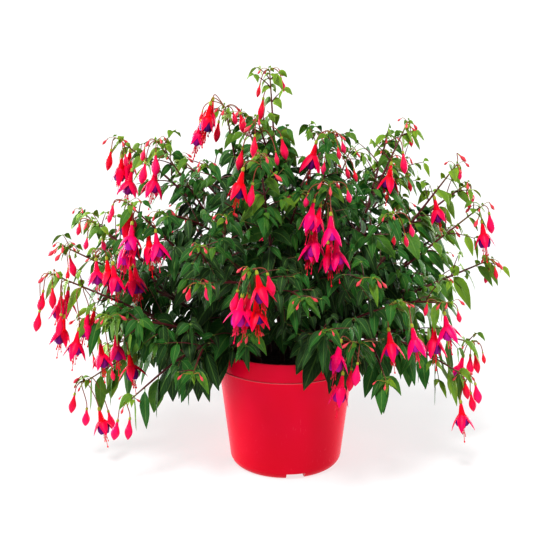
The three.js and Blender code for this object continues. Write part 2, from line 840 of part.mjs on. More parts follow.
// One wide open sepal, from a quarter of the tube's mouth to its point
function sepalSkin(root, bloom, order) {
  const angle = ((order + 0.5) * 2 * Math.PI) / FLOWER_SIDES;
  const outward = moved(spot(0, 0, 0), bloom.side, Math.cos(angle), bloom.front, Math.sin(angle));
  const across = bloom.down.clone().cross(outward);
  const along = (opening) =>
    moved(bloom.down.clone().multiplyScalar(Math.cos(opening)), outward, Math.sin(opening));
  const back = along(SEPAL_OPENING + Math.PI / 2);
  const reach = SEPAL_LENGTH * SEPAL_WIDEST;
  const middle = moved(bloom.mouth, outward, MOUTH_RADIUS / 2, along(SEPAL_OPENING), reach);
  const half = SEPAL_WIDTH / 2;
  const ring = [
    moved(middle, across, -half, back, SEPAL_THICKNESS / 2),
    moved(middle, across, half, back, SEPAL_THICKNESS / 2),
    moved(middle, across, half, back, -SEPAL_THICKNESS / 2),
    moved(middle, across, -half, back, -SEPAL_THICKNESS / 2),
  ];
  return skin([root, ring, [moved(middle, along(SEPAL_TIP_OPENING), SEPAL_LENGTH - reach)]], true);
}

// A wide open flower: stalk, ovary, tube, four sepals and the style, with room for its corolla
function makeShowBloom(start, middle) {
  const bloom = hangFrom(start, middle, 'show');
  bloom.mouth = moved(middle, bloom.down, -BLOOM_MIDDLE);
  const at = (drop) => moved(bloom.mouth, bloom.down, drop);
  const ringAt = (drop, radius) =>
    roundRing(at(drop), bloom.side, bloom.front, radius, FLOWER_SIDES);
  const top = at(-TUBE_LENGTH);
  const outer = ringAt(0, MOUTH_RADIUS);
  const inner = ringAt(1, COLUMN_RADIUS);
  const stalk = [
    stalkRing(start, top, bloom.side, start),
    stalkRing(start, top, bloom.side, top),
    ringAt(OVARY_LENGTH - TUBE_LENGTH, OVARY_RADIUS),
    outer,
  ];
  const column = [inner, ringAt(COROLLA_LENGTH + 2, COLUMN_RADIUS), [at(STYLE_LENGTH)]];
  const corners = [...skin(stalk, true), ...endCap(stalk[0]), ...skin(column, true)];
  for (let i = 0; i < FLOWER_SIDES; i += 1) {
    const j = (i + 1) % FLOWER_SIDES;
    corners.push(...sepalSkin([outer[i], outer[j], inner[j], inner[i]], bloom, i));
  }
  return { ...bloom, solid: solidOfSkin(corners) };
}

// The corolla of a show bloom: a cup of petals round the style, clear of it and of the sepals
function makeCorolla({ mouth, down, side, front }) {
  const sides = FLOWER_SIDES * 2;
  const ringAt = (drop, radius, wave) => {
    const points = [];
    for (let i = 0; i < sides; i += 1) {
      const swing = i % 2 === 0 ? wave : -wave;
      const centre = moved(mouth, down, drop + swing);
      const angle = (2 * Math.PI * i) / sides;
      points.push(moved(centre, side, radius * Math.cos(angle), front, radius * Math.sin(angle)));
    }
    return points;
  };
  const rings = [
    ringAt(COROLLA_START, COROLLA_NECK, 0),
    ringAt(COROLLA_LENGTH, COROLLA_RADIUS, PETAL_WAVE),
    ringAt(COROLLA_LENGTH - PETAL_THICKNESS / 2, COROLLA_RADIUS - PETAL_THICKNESS, PETAL_WAVE),
    ringAt(COROLLA_START, COROLLA_BORE, 0),
  ];
  rings.push(rings[0]);
  return solidOfSkin(skin(rings, true));
}

// Sprays
const STRIP_RADIUS = 1;
const STRIP_LEAD = 0.06; // how far before its first flower a strip starts, as a share of it
const LAST_STRIP_START = 0.9;
const CURL = 3.6; // how far ahead of a shoot's tip its strip ends

// The thin flower stalk that runs along under one straight stretch of a shoot.
// At the shoot's end it curls round to just ahead of the tip.
function planStrip(shoot, stretch) {
  const near = shoot.places[stretch - 1];
  const far = shoot.places[stretch];
  const travel = far.centre.clone().sub(near.centre).normalize();
  const over = travel.clone().cross(shoot.side);
  const under = ({ centre, radius }) => moved(centre, over, -(radius + CLEAR + STRIP_RADIUS));
  const curls = stretch === shoot.places.length - 1;
  return {
    from: under(near),
    to: under(far),
    end: curls ? moved(far.centre, travel, CURL) : under(far),
    curls,
    over,
    side: shoot.side,
  };
}

// How far along the strip the stalk of a flower starts. Past 1, it starts ahead of the shoot's tip.
function stalkStart(strip, middle) {
  const line = new THREE.Line3(strip.from, strip.to);
  const share = line.closestPointToPointParameter(moved(middle, UP, STALK_DROP), true);
  const start = line.at(share, spot(0, 0, 0));
  const beyond = middle.clone().sub(start).dot(strip.over) > 0;
  return beyond ? { share: 1, start: strip.end } : { share, start };
}

function makeStrip(strip, first) {
  const begin = strip.from.clone().lerp(strip.to, Math.min(Math.max(first, 0), LAST_STRIP_START));
  const centres = strip.curls ? [begin, strip.to, strip.end] : [begin, strip.to];
  const rings = centres.map((centre) =>
    roundRing(centre, strip.side, strip.over, STRIP_RADIUS, FLOWER_SIDES),
  );
  return solidOfSkin(skin(rings));
}

function makeSpray({ on: [branch, order, stretch], hang }, plans, seed) {
  const shoot = plans[branch][order];
  const strip = planStrip(shoot, stretch ?? shoot.places.length - 1);
  const tip = shoot.places.at(-1).centre;
  const flowers = hang.map(([kind, x, y, z]) => {
    const middle = moved(tip, spot(x, y, z), 1);
    return { kind, middle, ...stalkStart(strip, middle) };
  });
  const first = Math.min(...flowers.map(({ share }) => share)) - STRIP_LEAD;
  const solids = [makeStrip(strip, first)];
  const shows = [];
  flowers.forEach(({ kind, middle, start }, count) => {
    if (kind === 'show') {
      const bloom = makeShowBloom(start, middle);
      solids.push(bloom.solid);
      shows.push(bloom);
    } else if (kind === 'bloom') {
      solids.push(makeBloom(start, middle, seed + count));
    } else {
      solids.push(makeBud(start, middle, kind));
    }
  });
  return { solid: join(solids), shows };
}

// Assembly
const LOOKS = {
  pot: { color: '#d8102f', roughness: 0.35 },
  soil: { color: '#2a1c14', roughness: 0.95 },
  stem: { color: '#2f6b2c', roughness: 0.6 },
  flowers: { color: '#e0144a', roughness: 0.5 },
  corolla: { color: '#7a1a8c', roughness: 0.5 },
};

function meshOf(name, solid) {
  const { numProp, vertProperties, triVerts } = solid.getMesh();
  const geometry = new THREE.BufferGeometry();
  geometry.setAttribute('position', new THREE.BufferAttribute(vertProperties, numProp));
  geometry.setIndex(new THREE.BufferAttribute(triVerts, 1));
  geometry.computeVertexNormals();
  const look = LOOKS[name.split('_')[0]];
  const material = new THREE.MeshStandardMaterial({ ...look, metalness: 0 });
  const mesh = new THREE.Mesh(geometry, material);
  mesh.name = name;
  return mesh;
}

function boxOf(solid) {
  const { min, max } = solid.boundingBox();
  return new THREE.Box3(spot(...min), spot(...max)).expandByScalar(CLEAR);
}

const plans = {};
const wood = {};
const placed = [];
const group = new THREE.Group();

// Whether a leaf keeps its distance from other nodes' pieces and from its own branch's other leaves
function standsClear(solid, box, owner, pair) {
  return placed.every((other) => {
    const joined = other.owner === owner && (other.pair === '' || other.pair === pair);
    if (joined || !box.intersectsBox(other.box)) {
      return true;
    }
    return solid.minGap(other.solid, 2 * CLEAR) >= CLEAR;
  });
}

function place(owner, solid, pair = '') {
  placed.push({ owner, solid, pair, box: boxOf(solid) });
}

function addWhole(name, solid) {
  place(name, solid);
  group.add(meshOf(name, solid));
}

addWhole('pot', makePot());
addWhole('soil', makeSoil());
for (const [name, branch] of Object.entries(BRANCHES)) {
  plans[name] = planBranch(branch);
  wood[name] = plans[name].map((shoot, order) => makeShoot(shoot, order === 0));
  wood[name].forEach((solid) => place(name, solid));
}
Object.entries(SPRAYS).forEach(([name, spray], count) => {
  const { solid, shows } = makeSpray(spray, plans, count * SPRAY_DRAWS);
  addWhole(name, solid);
  shows.forEach((bloom, order) => {
    addWhole(`corolla_${name.replace('flowers_', '')}_${order + 1}`, makeCorolla(bloom));
  });
});
Object.keys(BRANCHES).forEach((name, count) => {
  const parts = [...wood[name]];
  plans[name].forEach((shoot, order) => {
    const seed = count * BRANCH_DRAWS + order * SHOOT_DRAWS;
    for (const leaf of planLeaves(shoot, order === 0, seed)) {
      const pair = `${order} ${leaf.pair}`;
      for (const bend of LEAF_BENDS) {
        const solid = makeLeaf(leaf, bend);
        if (standsClear(solid, boxOf(solid), name, pair)) {
          place(name, solid, pair);
          parts.push(solid);
          break;
        }
      }
    }
  });
  group.add(meshOf(name, join(parts)));
});

export default group;
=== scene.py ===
# Looks of a bushy fuchsia in full flower, in a round red nursery pot.
# Lengths in the plant's lists and rules are millimetres, in the frame's own axes.
import math
from functools import lru_cache
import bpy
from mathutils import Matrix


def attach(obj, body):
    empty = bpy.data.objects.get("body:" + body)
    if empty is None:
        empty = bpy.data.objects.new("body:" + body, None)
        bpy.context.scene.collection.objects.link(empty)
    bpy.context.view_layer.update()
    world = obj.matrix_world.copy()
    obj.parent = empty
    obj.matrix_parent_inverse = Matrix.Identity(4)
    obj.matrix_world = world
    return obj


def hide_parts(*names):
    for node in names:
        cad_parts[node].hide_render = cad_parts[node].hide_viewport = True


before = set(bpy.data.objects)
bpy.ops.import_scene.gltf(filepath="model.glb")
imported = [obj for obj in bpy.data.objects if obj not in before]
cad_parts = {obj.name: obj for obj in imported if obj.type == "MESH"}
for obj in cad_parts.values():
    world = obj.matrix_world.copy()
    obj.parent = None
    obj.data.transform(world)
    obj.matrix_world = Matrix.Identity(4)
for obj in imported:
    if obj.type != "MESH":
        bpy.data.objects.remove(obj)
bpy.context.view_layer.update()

from types import SimpleNamespace

import bmesh
import bpy
import numpy as np
from mathutils import Vector, noise

MM = 0.001
UP = np.array([0.0, 0.0, 1.0])
ALONG_X = np.array([1.0, 0.0, 0.0])

# Driving dimensions, the same as the solids'
RIM_DIAMETER = 151
POT_HEIGHT = 134
BASE_DIAMETER = 104
POT_WALL = 1.6
SOIL_LEVEL = 120
STEM_DIAMETER = 4.8
LEAF_LENGTH = 48
SEPAL_LENGTH = 23
BUD_LENGTH = 24
CLEAR = 0.3  # gap kept between neighbouring solids

# The plant, with the names of the solids' stems and flowers without those words.
# Each branch stands in its own hole in the soil at (x, y).
# A shoot is (shoot it leaves, how far along that, tip x, tip y, tip z, arch).
BRANCHES = {
    "top": ((2, 6), [
        (0, 0, -17, -10, 423, 0),
        (0, 0.6, -29, -42, 378, 6),
        (0, 0.45, 50, 66, 350, 8),
        (0, 0.5, -48, 68, 372, 8),
        (0, 0.35, 14, -62, 306, 8),
    ]),
    "crown_left": ((-18, 6), [
        (0, 0, -62, -6, 386, 8),
        (0, 0.12, -129, -30, 354, 20),
        (1, 0.45, -176, 20, 351, 14),
        (0, 0.5, -78, -70, 338, 8),
        (0, 0.45, -118, 78, 325, 10),
        (1, 0.4, -124, -58, 288, 10),
    ]),
    "left": ((-38, 12), [
        (0, 0, -233, -5, 241, 10),
        (0, 0.45, -222, 48, 268, 8),
        (0, 0.4, -196, -32, 272, 14),
        (0, 0.35, -215, 95, 205, 10),
    ]),
    "left_near": ((-30, -12), [
        (0, 0, -154, -80, 301, 26),
        (0, 0.35, -83, -130, 269, 10),
        (0, 0.3, -58, -108, 292, 12),
    ]),
    "low_left": ((-40, -22), [
        (0, 0, -235, -55, 223, 0),
        (0, 0.4, -209, -42, 172, 16),
        (0, 0.25, -174, -92, 189, 8),
    ]),
    "skirt_left": ((-46, -4), [
        (0, 0, -215, -16, 95, 60),
        (0, 0.4, -200, 60, 110, 12),
    ]),
    "skirt_near": ((-28, -36), [
        (0, 0, -160, -78, 97, 62),
        (0, 0.4, -92, -112, 137, 10),
        (0, 0.25, -36, -116, 178, 16),
    ]),
    "front": ((-4, -22), [
        (0, 0, -26, -95, 350, 12),
        (0, 0.25, -34, -161, 254, 10),
        (1, 0.3, -81, -142, 237, 8),
        (0, 0.3, 14, -165, 228, 12),
    ]),
    "front_low": ((14, -38), [
        (0, 0, 70, -122, 172, 22),
        (0, 0.3, 107, -112, 210, 12),
        (0, 0.25, 36, -160, 196, 8),
    ]),
    "top_right": ((16, 4), [
        (0, 0, 45, -10, 360, 4),
        (0, 0.4, 41, -92, 321, 8),
        (0, 0.45, 72, 88, 330, 8),
        (0, 0.3, 80, -128, 238, 8),
    ]),
    "high_right": ((28, 12), [
        (0, 0, 124, 0, 370, 16),
        (0, 0.6, 107, 34, 349, 4),
        (0, 0.3, 99, -90, 292, 10),
        (0, 0.4, 132, 84, 318, 8),
    ]),
    "right": ((42, 4), [
        (0, 0, 175, 0, 325, 12),
        (0, 0.1, 197, -28, 287, 8),
        (0, 0.6, 194, 38, 300, 4),
        (1, 0.45, 178, 44, 250, 10),
    ]),
    "right_low": ((42, -14), [
        (0, 0, 213, -8, 227, 22),
        (0, 0.35, 162, -72, 198, 10),
        (0, 0.4, 180, 78, 212, 10),
    ]),
    "skirt_right": ((36, -30), [
        (0, 0, 185, -42, 112, 58),
        (0, 0.35, 203, 16, 129, 14),
        (0, 0.3, 98, -112, 129, 14),
    ]),
    "back_left": ((-22, 30), [
        (0, 0, -125, 165, 250, 16),
        (0, 0.25, -20, 215, 235, 12),
        (0, 0.4, -168, 150, 160, 14),
        (1, 0.4, -60, 190, 150, 18),
        (0, 0.3, -42, 132, 325, 10),
    ]),
    "back_right": ((22, 32), [
        (0, 0, 140, 150, 255, 16),
        (0, 0.25, 52, 170, 300, 12),
        (0, 0.4, 185, 120, 175, 14),
        (0, 0.35, 85, 200, 170, 16),
        (1, 0.4, 118, 118, 322, 8),
    ]),
}

# Flowers and buds hang from the last stretch of a shoot, or from an earlier one if it is given.
# Each is (kind, x, y, z) from the shoot's tip.
BACK_BUNCH = [("bloom", -10, 4, -36), ("bud", 12, -6, -40), ("bud", 6, 12, -26)]
SPRAYS = {
    "top": (("top", 0), [
        ("small", -11, 0, -19), ("small", 13, 6, -14), ("bud", -8, -8, -37),
    ]),
    "top_near": (("top", 1), [
        ("nub", -9, -4, -8), ("bud", -3, -9, -25), ("bud", 26, -2, -28), ("bud", -17, 0, -39),
        ("small", 19, -8, -37),
    ]),
    "crown_left": (("crown_left", 0), [
        ("bloom", -19, -8, -16), ("bloom", -29, 0, -32), ("bud", -9, 8, -25), ("small", -25, 2, -10),
        ("small", 9, 0, -10), ("bud", 17, 2, -16),
    ]),
    "high_left": (("crown_left", 1), [
        ("small", -15, 0, -12), ("bud", -15, -4, -30), ("bud", -2, -8, -21), ("show", -6, -4, -45),
    ]),
    "far_left": (("crown_left", 2), [
        ("bud", -10, 0, -22), ("small", 8, -5, -21), ("bloom", 0, 4, -38), ("bloom", 10, -6, -51),
    ]),
    "left_upper": (("left", 2), [
        ("small", -9, 0, -21), ("small", 9, -3, -21), ("small", -16, 0, -6),
    ]),
    "left": (("left", 0), [
        ("nub", -13, 0, -6), ("nub", -6, -5, -10), ("bud", 7, 0, -21), ("small", 1, 6, -31),
    ]),
    "left_inner": (("left", 0, 5), [
        ("bloom", 39, -36, -25), ("bloom", 59, -46, -29), ("bloom", 77, -46, -32),
    ]),
    "left_near": (("left_near", 0), [
        ("small", -16, 0, -7), ("small", -19, 4, -13), ("bloom", -3, 6, -25), ("bloom", 2, -8, -38),
        ("bloom", -6, 2, -54), ("bloom", 28, -8, -45),
    ]),
    "low_left": (("low_left", 0), [
        ("nub", -12, -2, -4), ("bud", -14, 0, -27), ("bud", -1, -8, -21), ("bud", -18, -4, -47),
        ("bloom", 2, 6, -40), ("bud", 5, -8, -50), ("bloom", 3, 4, -66), ("show", 19, -4, -77),
        ("bloom", 28, 6, -60),
    ]),
    "low_left_inner": (("low_left", 1), [
        ("bloom", 18, -6, -43), ("bloom", 34, -8, -34), ("small", 28, -4, -58), ("small", 9, 0, -45),
        ("bloom", 50, -16, -52),
    ]),
    "skirt_left": (("skirt_left", 0), [
        ("nub", -9, 0, 2), ("bud", -14, -4, -23), ("bud", -2, 4, -42), ("bud", 25, 0, -44),
        ("bloom", 18, -8, -49),
    ]),
    "skirt_near": (("skirt_near", 0), [
        ("bud", -15, 0, -32), ("bud", -1, -4, -29),
    ]),
    "front": (("front", 0), [
        ("bloom", -20, -4, -33), ("bud", -8, -8, -36), ("small", 9, 0, -8), ("nub", 17, -4, -20),
    ]),
    "front_left": (("front", 1), [
        ("bud", -14, 4, -30), ("small", -4, 6, -29), ("bud", 18, 0, -13), ("bloom", 10, -6, -21),
        ("bloom", -11, -6, -43), ("show", 6, 2, -46),
    ]),
    "front_small": (("front", 2), [
        ("small", -11, 0, -10), ("small", 6, -4, -8),
    ]),
    "over_pot": (("front_low", 0), [
        ("bloom", -22, 0, -20), ("bloom", -19, -8, -49), ("bud", -8, 4, -38), ("bud", -3, -6, -29),
    ]),
    "near_right": (("front_low", 1), [
        ("show", -5, 0, -48), ("show", 18, -4, -42),
    ]),
    "top_right": (("top_right", 0), [
        ("bloom", -19, 0, -29), ("small", -7, -11, -33), ("small", 13, 0, -13), ("small", 8, -9, -18),
        ("small", 18, 4, -40), ("small", 26, 2, -43),
    ]),
    "middle": (("top_right", 1), [
        ("small", -22, 4, -15), ("small", 18, 0, -10), ("bloom", -19, -2, -35), ("show", 1, -14, -46),
        ("bloom", -15, 4, -64), ("show", 8, -4, -72),
    ]),
    "high_right": (("high_right", 0), [
        ("nub", 8, 0, -8), ("small", 5, 4, -18), ("bud", -3, -6, -40), ("small", 5, 4, -65),
        ("show", -18, -4, -62),
    ]),
    "near_right_small": (("high_right", 2), [
        ("small", 4, 0, -23), ("small", 21, -4, -14), ("small", 17, 4, -26),
    ]),
    "right": (("right", 0), [
        ("nub", 7, 0, 9), ("small", 4, -4, -6), ("bloom", -16, 0, -52),
    ]),
    "right_small": (("right", 2), [
        ("small", 6, -2, -12), ("small", 1, 0, -13), ("small", 4, 3, -21),
    ]),
    "right_near": (("right", 1), [
        ("bud", 13, 6, -17), ("bloom", 5, -8, -33), ("nub", -4, -8, -14),
    ]),
    "right_low": (("right_low", 0), [
        ("small", -1, 0, -18), ("small", 7, -5, -12), ("nub", 10, 2, -5),
    ]),
    "right_inner": (("right_low", 1), [
        ("small", 11, 0, -13), ("small", -22, 0, -6), ("bloom", 1, 0, -31), ("bloom", -11, 8, -48),
    ]),
    "skirt_right": (("skirt_right", 0), [
        ("bud", 4, 0, -16), ("bud", 15, -4, -19), ("bud", 12, 5, -32), ("show", 1, -4, -50),
    ]),
    "edge_right": (("skirt_right", 1), [
        ("bud", 0, 0, -26), ("bud", 6, -4, -23), ("small", 15, 3, -19), ("bloom", -11, 6, -37),
    ]),
    "back_left": (("back_left", 0), BACK_BUNCH),
    "back": (("back_left", 1), BACK_BUNCH),
    "back_right": (("back_right", 0), BACK_BUNCH),
    "back_high": (("back_right", 1), BACK_BUNCH),
}

# Repeatable draws, spaced as the solids' are
DRAW_RATE = 12.9898
DRAW_SPREAD = 43758.5453
BRANCH_DRAWS = 997
SHOOT_DRAWS = 101
PAIR_DRAWS = 7
HALF_DRAWS = 3
SPRAY_DRAWS = 31
FILLER_DRAWS = 50000
TWIG_DRAWS = 90000
TWIN_DRAWS = 130000
TUFT_DRAWS = 60
STAMEN_DRAWS = 20


def chance(number):
    """One draw from 0 to 1 for each number."""
    wave = math.sin(number * DRAW_RATE) * DRAW_SPREAD
    return wave - math.floor(wave)


def between(number, limits):
    low, high = limits
    return low + (high - low) * chance(number)


def spot(x, y, z):
    return np.array([x, y, z], float)


def unit(vector):
    return vector / np.linalg.norm(vector)


def units(vectors):
    """Directions in rows, each made one long."""
    return vectors / np.linalg.norm(vectors, axis=1, keepdims=True)


def blend(first, second, share):
    return first + (second - first) * share


def bezier(corners, shares):
    """Points of a cubic curve at shares of its way."""
    t = np.asarray(shares, float)[..., None]
    a, b, c, d = corners
    return (1 - t) ** 3 * a + 3 * (1 - t) ** 2 * t * b + 3 * (1 - t) * t**2 * c + t**3 * d


# Meshes
LEAST = 1e-9  # keeps a corner without a size from being divided by nothing
STEEP = 0.9  # a tube that starts steeper than this takes its first side from the x axis
RIDGES = 4  # raised by a tube's flutes
SHARP_EDGE = math.radians(50)


@lru_cache(maxsize=None)
def sheet_faces(rows, columns):
    """Quads of a closed thin sheet, whose upper and under skins share their border."""
    upper = np.arange(rows * columns).reshape(rows, columns)
    under = upper.copy()
    inside = np.arange((rows - 2) * (columns - 2)).reshape(rows - 2, columns - 2)
    under[1:-1, 1:-1] = rows * columns + inside
    faces = []
    for r in range(rows - 1):
        for c in range(columns - 1):
            faces.append((upper[r, c], upper[r, c + 1], upper[r + 1, c + 1], upper[r + 1, c]))
            faces.append((under[r, c], under[r + 1, c], under[r + 1, c + 1], under[r, c + 1]))
    return np.array(faces)


@lru_cache(maxsize=None)
def tube_faces(rings, sides):
    quads = []
    for k in range(rings - 1):
        for i in range(sides):
            j = (i + 1) % sides
            near, far = k * sides, (k + 1) * sides
            quads.append((near + i, near + j, far + j, far + i))
    return np.array(quads)


class Shape:
    """The points and faces of one piece, with named values kept at every point."""

    def __init__(self, *names):
        self.names = names
        self.points = []
        self.quads = []
        self.caps = []
        self.values = {name: [] for name in names}
        self.count = 0

    def keep(self, points, quads, values):
        self.points.append(points)
        self.quads.append(quads + self.count)
        for name in self.names:
            self.values[name].append(np.broadcast_to(values.get(name, 0.0), len(points)))
        self.count += len(points)

    def sheet(self, grid, thickness, **values):
        """A thin blade over a grid of points (rows, columns, 3), thickest in its middle."""
        rows, columns = grid.shape[:2]
        normal = np.cross(np.gradient(grid, axis=1), np.gradient(grid, axis=0))
        normal /= np.linalg.norm(normal, axis=2, keepdims=True) + LEAST
        under = (grid - normal * thickness)[1:-1, 1:-1].reshape(-1, 3)
        points = np.concatenate([grid.reshape(-1, 3), under])
        spread = {}
        for name, value in values.items():
            value = np.broadcast_to(value, (rows, columns))
            spread[name] = np.concatenate([value.ravel(), value[1:-1, 1:-1].ravel()])
        if "under" in self.names:
            spread["under"] = np.concatenate([np.zeros(rows * columns), np.ones(len(under))])
        self.keep(points, sheet_faces(rows, columns), spread)

    def tube(self, path, radii, sides, start_side=None, flutes=0.0, **values):
        """A closed round tube along a path. Flutes raise ridges on it, as a share of its radius."""
        path = np.asarray(path, float)
        radii = np.broadcast_to(radii, len(path))
        flutes = np.broadcast_to(flutes, len(path))
        travel = units(np.gradient(path, axis=0))
        side = start_side
        if side is None:
            side = np.cross(travel[0], ALONG_X if abs(travel[0][2]) > STEEP else UP)
        angles = np.arange(sides) * 2 * math.pi / sides
        rings = []
        for centre, step, radius, flute in zip(path, travel, radii, flutes):
            side = unit(side - step * (side @ step))
            over = np.cross(step, side)
            reach = (radius * (1 + flute * np.cos(RIDGES * angles)))[:, None]
            turn = np.cos(angles)[:, None] * side + np.sin(angles)[:, None] * over
            rings.append(centre + reach * turn)
        points = np.concatenate(rings)
        first = self.count
        last = first + len(points) - sides
        self.caps.append([first + i for i in reversed(range(sides))])
        self.caps.append([last + i for i in range(sides)])
        spread = {name: np.repeat(np.broadcast_to(v, len(path)), sides) for name, v in values.items()}
        self.keep(points, tube_faces(len(path), sides), spread)

    def piece(self, name, finish, slot, *nodes):
        """The finished object, riding on the root body in place of some solids."""
        mesh = bpy.data.meshes.new(name)
        points = np.concatenate(self.points) * MM
        faces = np.concatenate(self.quads).tolist() + self.caps
        mesh.from_pydata(points.tolist(), [], faces)
        for key in self.names:
            held = mesh.attributes.new(key, "FLOAT", "POINT")
            held.data.foreach_set("value", np.concatenate(self.values[key]).astype(np.float32))
        dress(mesh, name, finish, slot, *nodes)


def linked(name, data):
    """A new object in the scene."""
    holder = bpy.data.objects.new(name, data)
    bpy.context.scene.collection.objects.link(holder)
    return holder


def dress(mesh, name, finish, slot, *nodes):
    mesh.materials.append(finish)
    mesh.shade_smooth()
    mesh.set_sharp_from_angle(angle=SHARP_EDGE)
    piece = linked(name, mesh)
    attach(piece, "root")
    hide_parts(*nodes)


# Shader nodes


class Value:
    """One output of a shader node. Arithmetic on it adds Math nodes."""

    def __init__(self, finish, socket):
        self.finish = finish
        self.socket = socket

    def math(self, operation, *others):
        return self.finish.node("ShaderNodeMath", {"operation": operation}, (self, *others))

    def __add__(self, other):
        return self.math("ADD", other)

    def __mul__(self, other):
        return self.math("MULTIPLY", other)

    def __sub__(self, other):
        return self.math("SUBTRACT", other)

    def __rsub__(self, other):
        return self.finish.node("ShaderNodeMath", {"operation": "SUBTRACT"}, (other, self))

    def __abs__(self):
        return self.math("ABSOLUTE")

    __radd__ = __add__
    __rmul__ = __mul__

    def rise(self, low, high):
        """From 0 at low to 1 at high, smoothly."""
        settings = {"interpolation_type": "SMOOTHSTEP"}
        return self.finish.node("ShaderNodeMapRange", settings, (self, low, high, 0.0, 1.0))

    def held(self):
        """Kept between 0 and 1."""
        return self.finish.node("ShaderNodeClamp", {}, (self, 0.0, 1.0))


class Finish:
    """The nodes of a material or of the world."""

    def __init__(self, owner):
        self.owner = owner
        owner.use_nodes = True
        self.tree = owner.node_tree
        self.tree.nodes.clear()

    def node(self, kind, settings, inputs, output=0):
        """A node of a type, with its settings made first and its sockets then filled."""
        node = self.tree.nodes.new(kind)
        for name, value in settings.items():
            setattr(node, name, value)
        pairs = inputs.items() if isinstance(inputs, dict) else enumerate(inputs)
        for key, value in pairs:
            if isinstance(value, Value):
                self.tree.links.new(value.socket, node.inputs[key])
            else:
                node.inputs[key].default_value = value
        return Value(self, node.outputs[output]) if node.outputs else None

    def held_value(self, name):
        """A value that the mesh keeps at every point."""
        return self.node("ShaderNodeAttribute", {"attribute_name": name}, {}, "Fac")

    def place(self):
        return self.node("ShaderNodeTexCoord", {}, {}, "Object")

    def noise(self, scale, detail=2.0, stretch=(1, 1, 1)):
        spread = self.node("ShaderNodeVectorMath", {"operation": "MULTIPLY"}, (self.place(), stretch))
        inputs = {"Vector": spread, "Scale": scale, "Detail": detail}
        return self.node("ShaderNodeTexNoise", {}, inputs)

    def mix(self, share, first, second):
        settings = {"data_type": "RGBA", "clamp_factor": True}
        return self.node("ShaderNodeMix", settings, {0: share, 6: first, 7: second}, 2)

    def bump(self, height, depth):
        inputs = {"Height": height, "Strength": 1.0, "Distance": depth * MM}
        return self.node("ShaderNodeBump", {}, inputs)

    def surface(self, colour, roughness, normal, **constants):
        inputs = {"Base Color": colour, "Roughness": roughness, "Normal": normal}
        inputs.update({name.replace("_", " "): value for name, value in constants.items()})
        skin = self.node("ShaderNodeBsdfPrincipled", {}, inputs)
        self.node("ShaderNodeOutputMaterial", {}, {"Surface": skin})
        return self.owner


def srgb(red, green, blue):
    """A colour as a screen shows it, from 0 to 255, made linear."""
    parts = [c / 255 for c in (red, green, blue)]
    linear = [c / 12.92 if c <= 0.04045 else ((c + 0.055) / 1.055) ** 2.4 for c in parts]
    return (*linear, 1.0)


# Materials


def leaf_green():
    """Dark old leaves to yellow-green young ones, with a pale rib and side veins. The youth value they
    read also carries painted light on the outer and front leaves and painted shade in the plant's middle,
    and their edges get a painted highlight.
    """
    finish = Finish(bpy.data.materials.new("fuchsia_leaf"))
    along = finish.held_value("along")
    side = abs(finish.held_value("across"))
    under = finish.held_value("under")
    youth = finish.held_value("youth")
    tint = finish.held_value("tint")
    mottle = finish.noise(260.0, 3.0)
    # The age value mixes youth with painted light and shade from the leaf's place.
    age_and_light = (youth * 0.85 + tint * 0.52 + mottle * 0.3 - 0.34).held()
    old = finish.mix(age_and_light.rise(0.0, 0.45), srgb(0, 23, 11), srgb(8, 92, 20))
    fresh = finish.mix(age_and_light.rise(0.4, 1.05), old, srgb(138, 172, 36))
    rib = 1 - side.rise(0.03, 0.14)
    stripe = abs((along * 8.0 - side * 2.4).math("FRACT") - 0.5)
    vein = (1 - stripe.rise(0.02, 0.13)) * (1 - side.rise(0.82, 1.0))
    veined = finish.mix((rib * 0.58 + vein * 0.18).held(), fresh, srgb(122, 160, 76))
    paler = finish.mix(under * 0.38, veined, srgb(70, 110, 56))
    # A painted highlight along the blade's edges.
    edge_highlighted = finish.mix(side.rise(0.84, 1.0) * 0.35, paler, srgb(128, 158, 74))
    height = mottle * 0.35 - rib * 0.8 - vein * 0.5
    roughness = 0.36 + mottle * 0.16 + under * 0.22
    return finish.surface(edge_highlighted, roughness, finish.bump(height, 0.25), Specular_IOR_Level=0.22)


def stem_bark():
    """Reddish brown stems, greener towards their tips, with fine long streaks."""
    finish = Finish(bpy.data.materials.new("stem_bark"))
    youth = finish.held_value("youth")
    streak = finish.noise(420.0, 3.0, (1.0, 1.0, 0.22))
    old = finish.mix(streak, srgb(52, 28, 22), srgb(98, 54, 42))
    red = finish.mix(youth.rise(0.15, 0.6), old, srgb(92, 26, 32))
    young = finish.mix(youth.rise(0.8, 1.0), red, srgb(112, 92, 44))
    return finish.surface(young, 0.5 + streak * 0.2, finish.bump(streak, 0.3))


def flower_red():
    """Waxy crimson tubes, sepals, buds and stamens, with fine lengthwise veins, on thin brown stalks.
    They turn magenta-pink partly by random tone and partly as a painted highlight towards the sepals' and
    buds' tips.
    """
    finish = Finish(bpy.data.materials.new("flower_red"))
    tint = finish.held_value("tint")
    bright = finish.held_value("bright")
    green = finish.held_value("green")
    pale = finish.held_value("pale")
    flush = finish.noise(150.0, 2.0)
    vein = finish.noise(900.0, 2.0, (1.0, 1.0, 0.16))
    # Painted highlight: the bright value pushes sepals and buds towards magenta-pink towards their tips,
    # on top of random tone.
    shade = (tint * 0.7 + flush * 0.6 + bright * 0.55 - 0.5).held()
    crimson = finish.mix(shade, srgb(236, 0, 26), srgb(255, 2, 120))
    veined = finish.mix(vein.rise(0.5, 0.72) * 0.4, crimson, srgb(176, 0, 44))
    soft = finish.mix(pale, veined, srgb(226, 84, 92))
    brown = finish.mix(green.rise(0.0, 0.5), soft, srgb(146, 76, 60))
    mixed = finish.mix(green.rise(0.5, 1.0), brown, srgb(162, 170, 56))
    normal = finish.bump(vein, 0.2)
    return finish.surface(mixed, 0.36 + vein * 0.16, normal, Specular_IOR_Level=0.16)


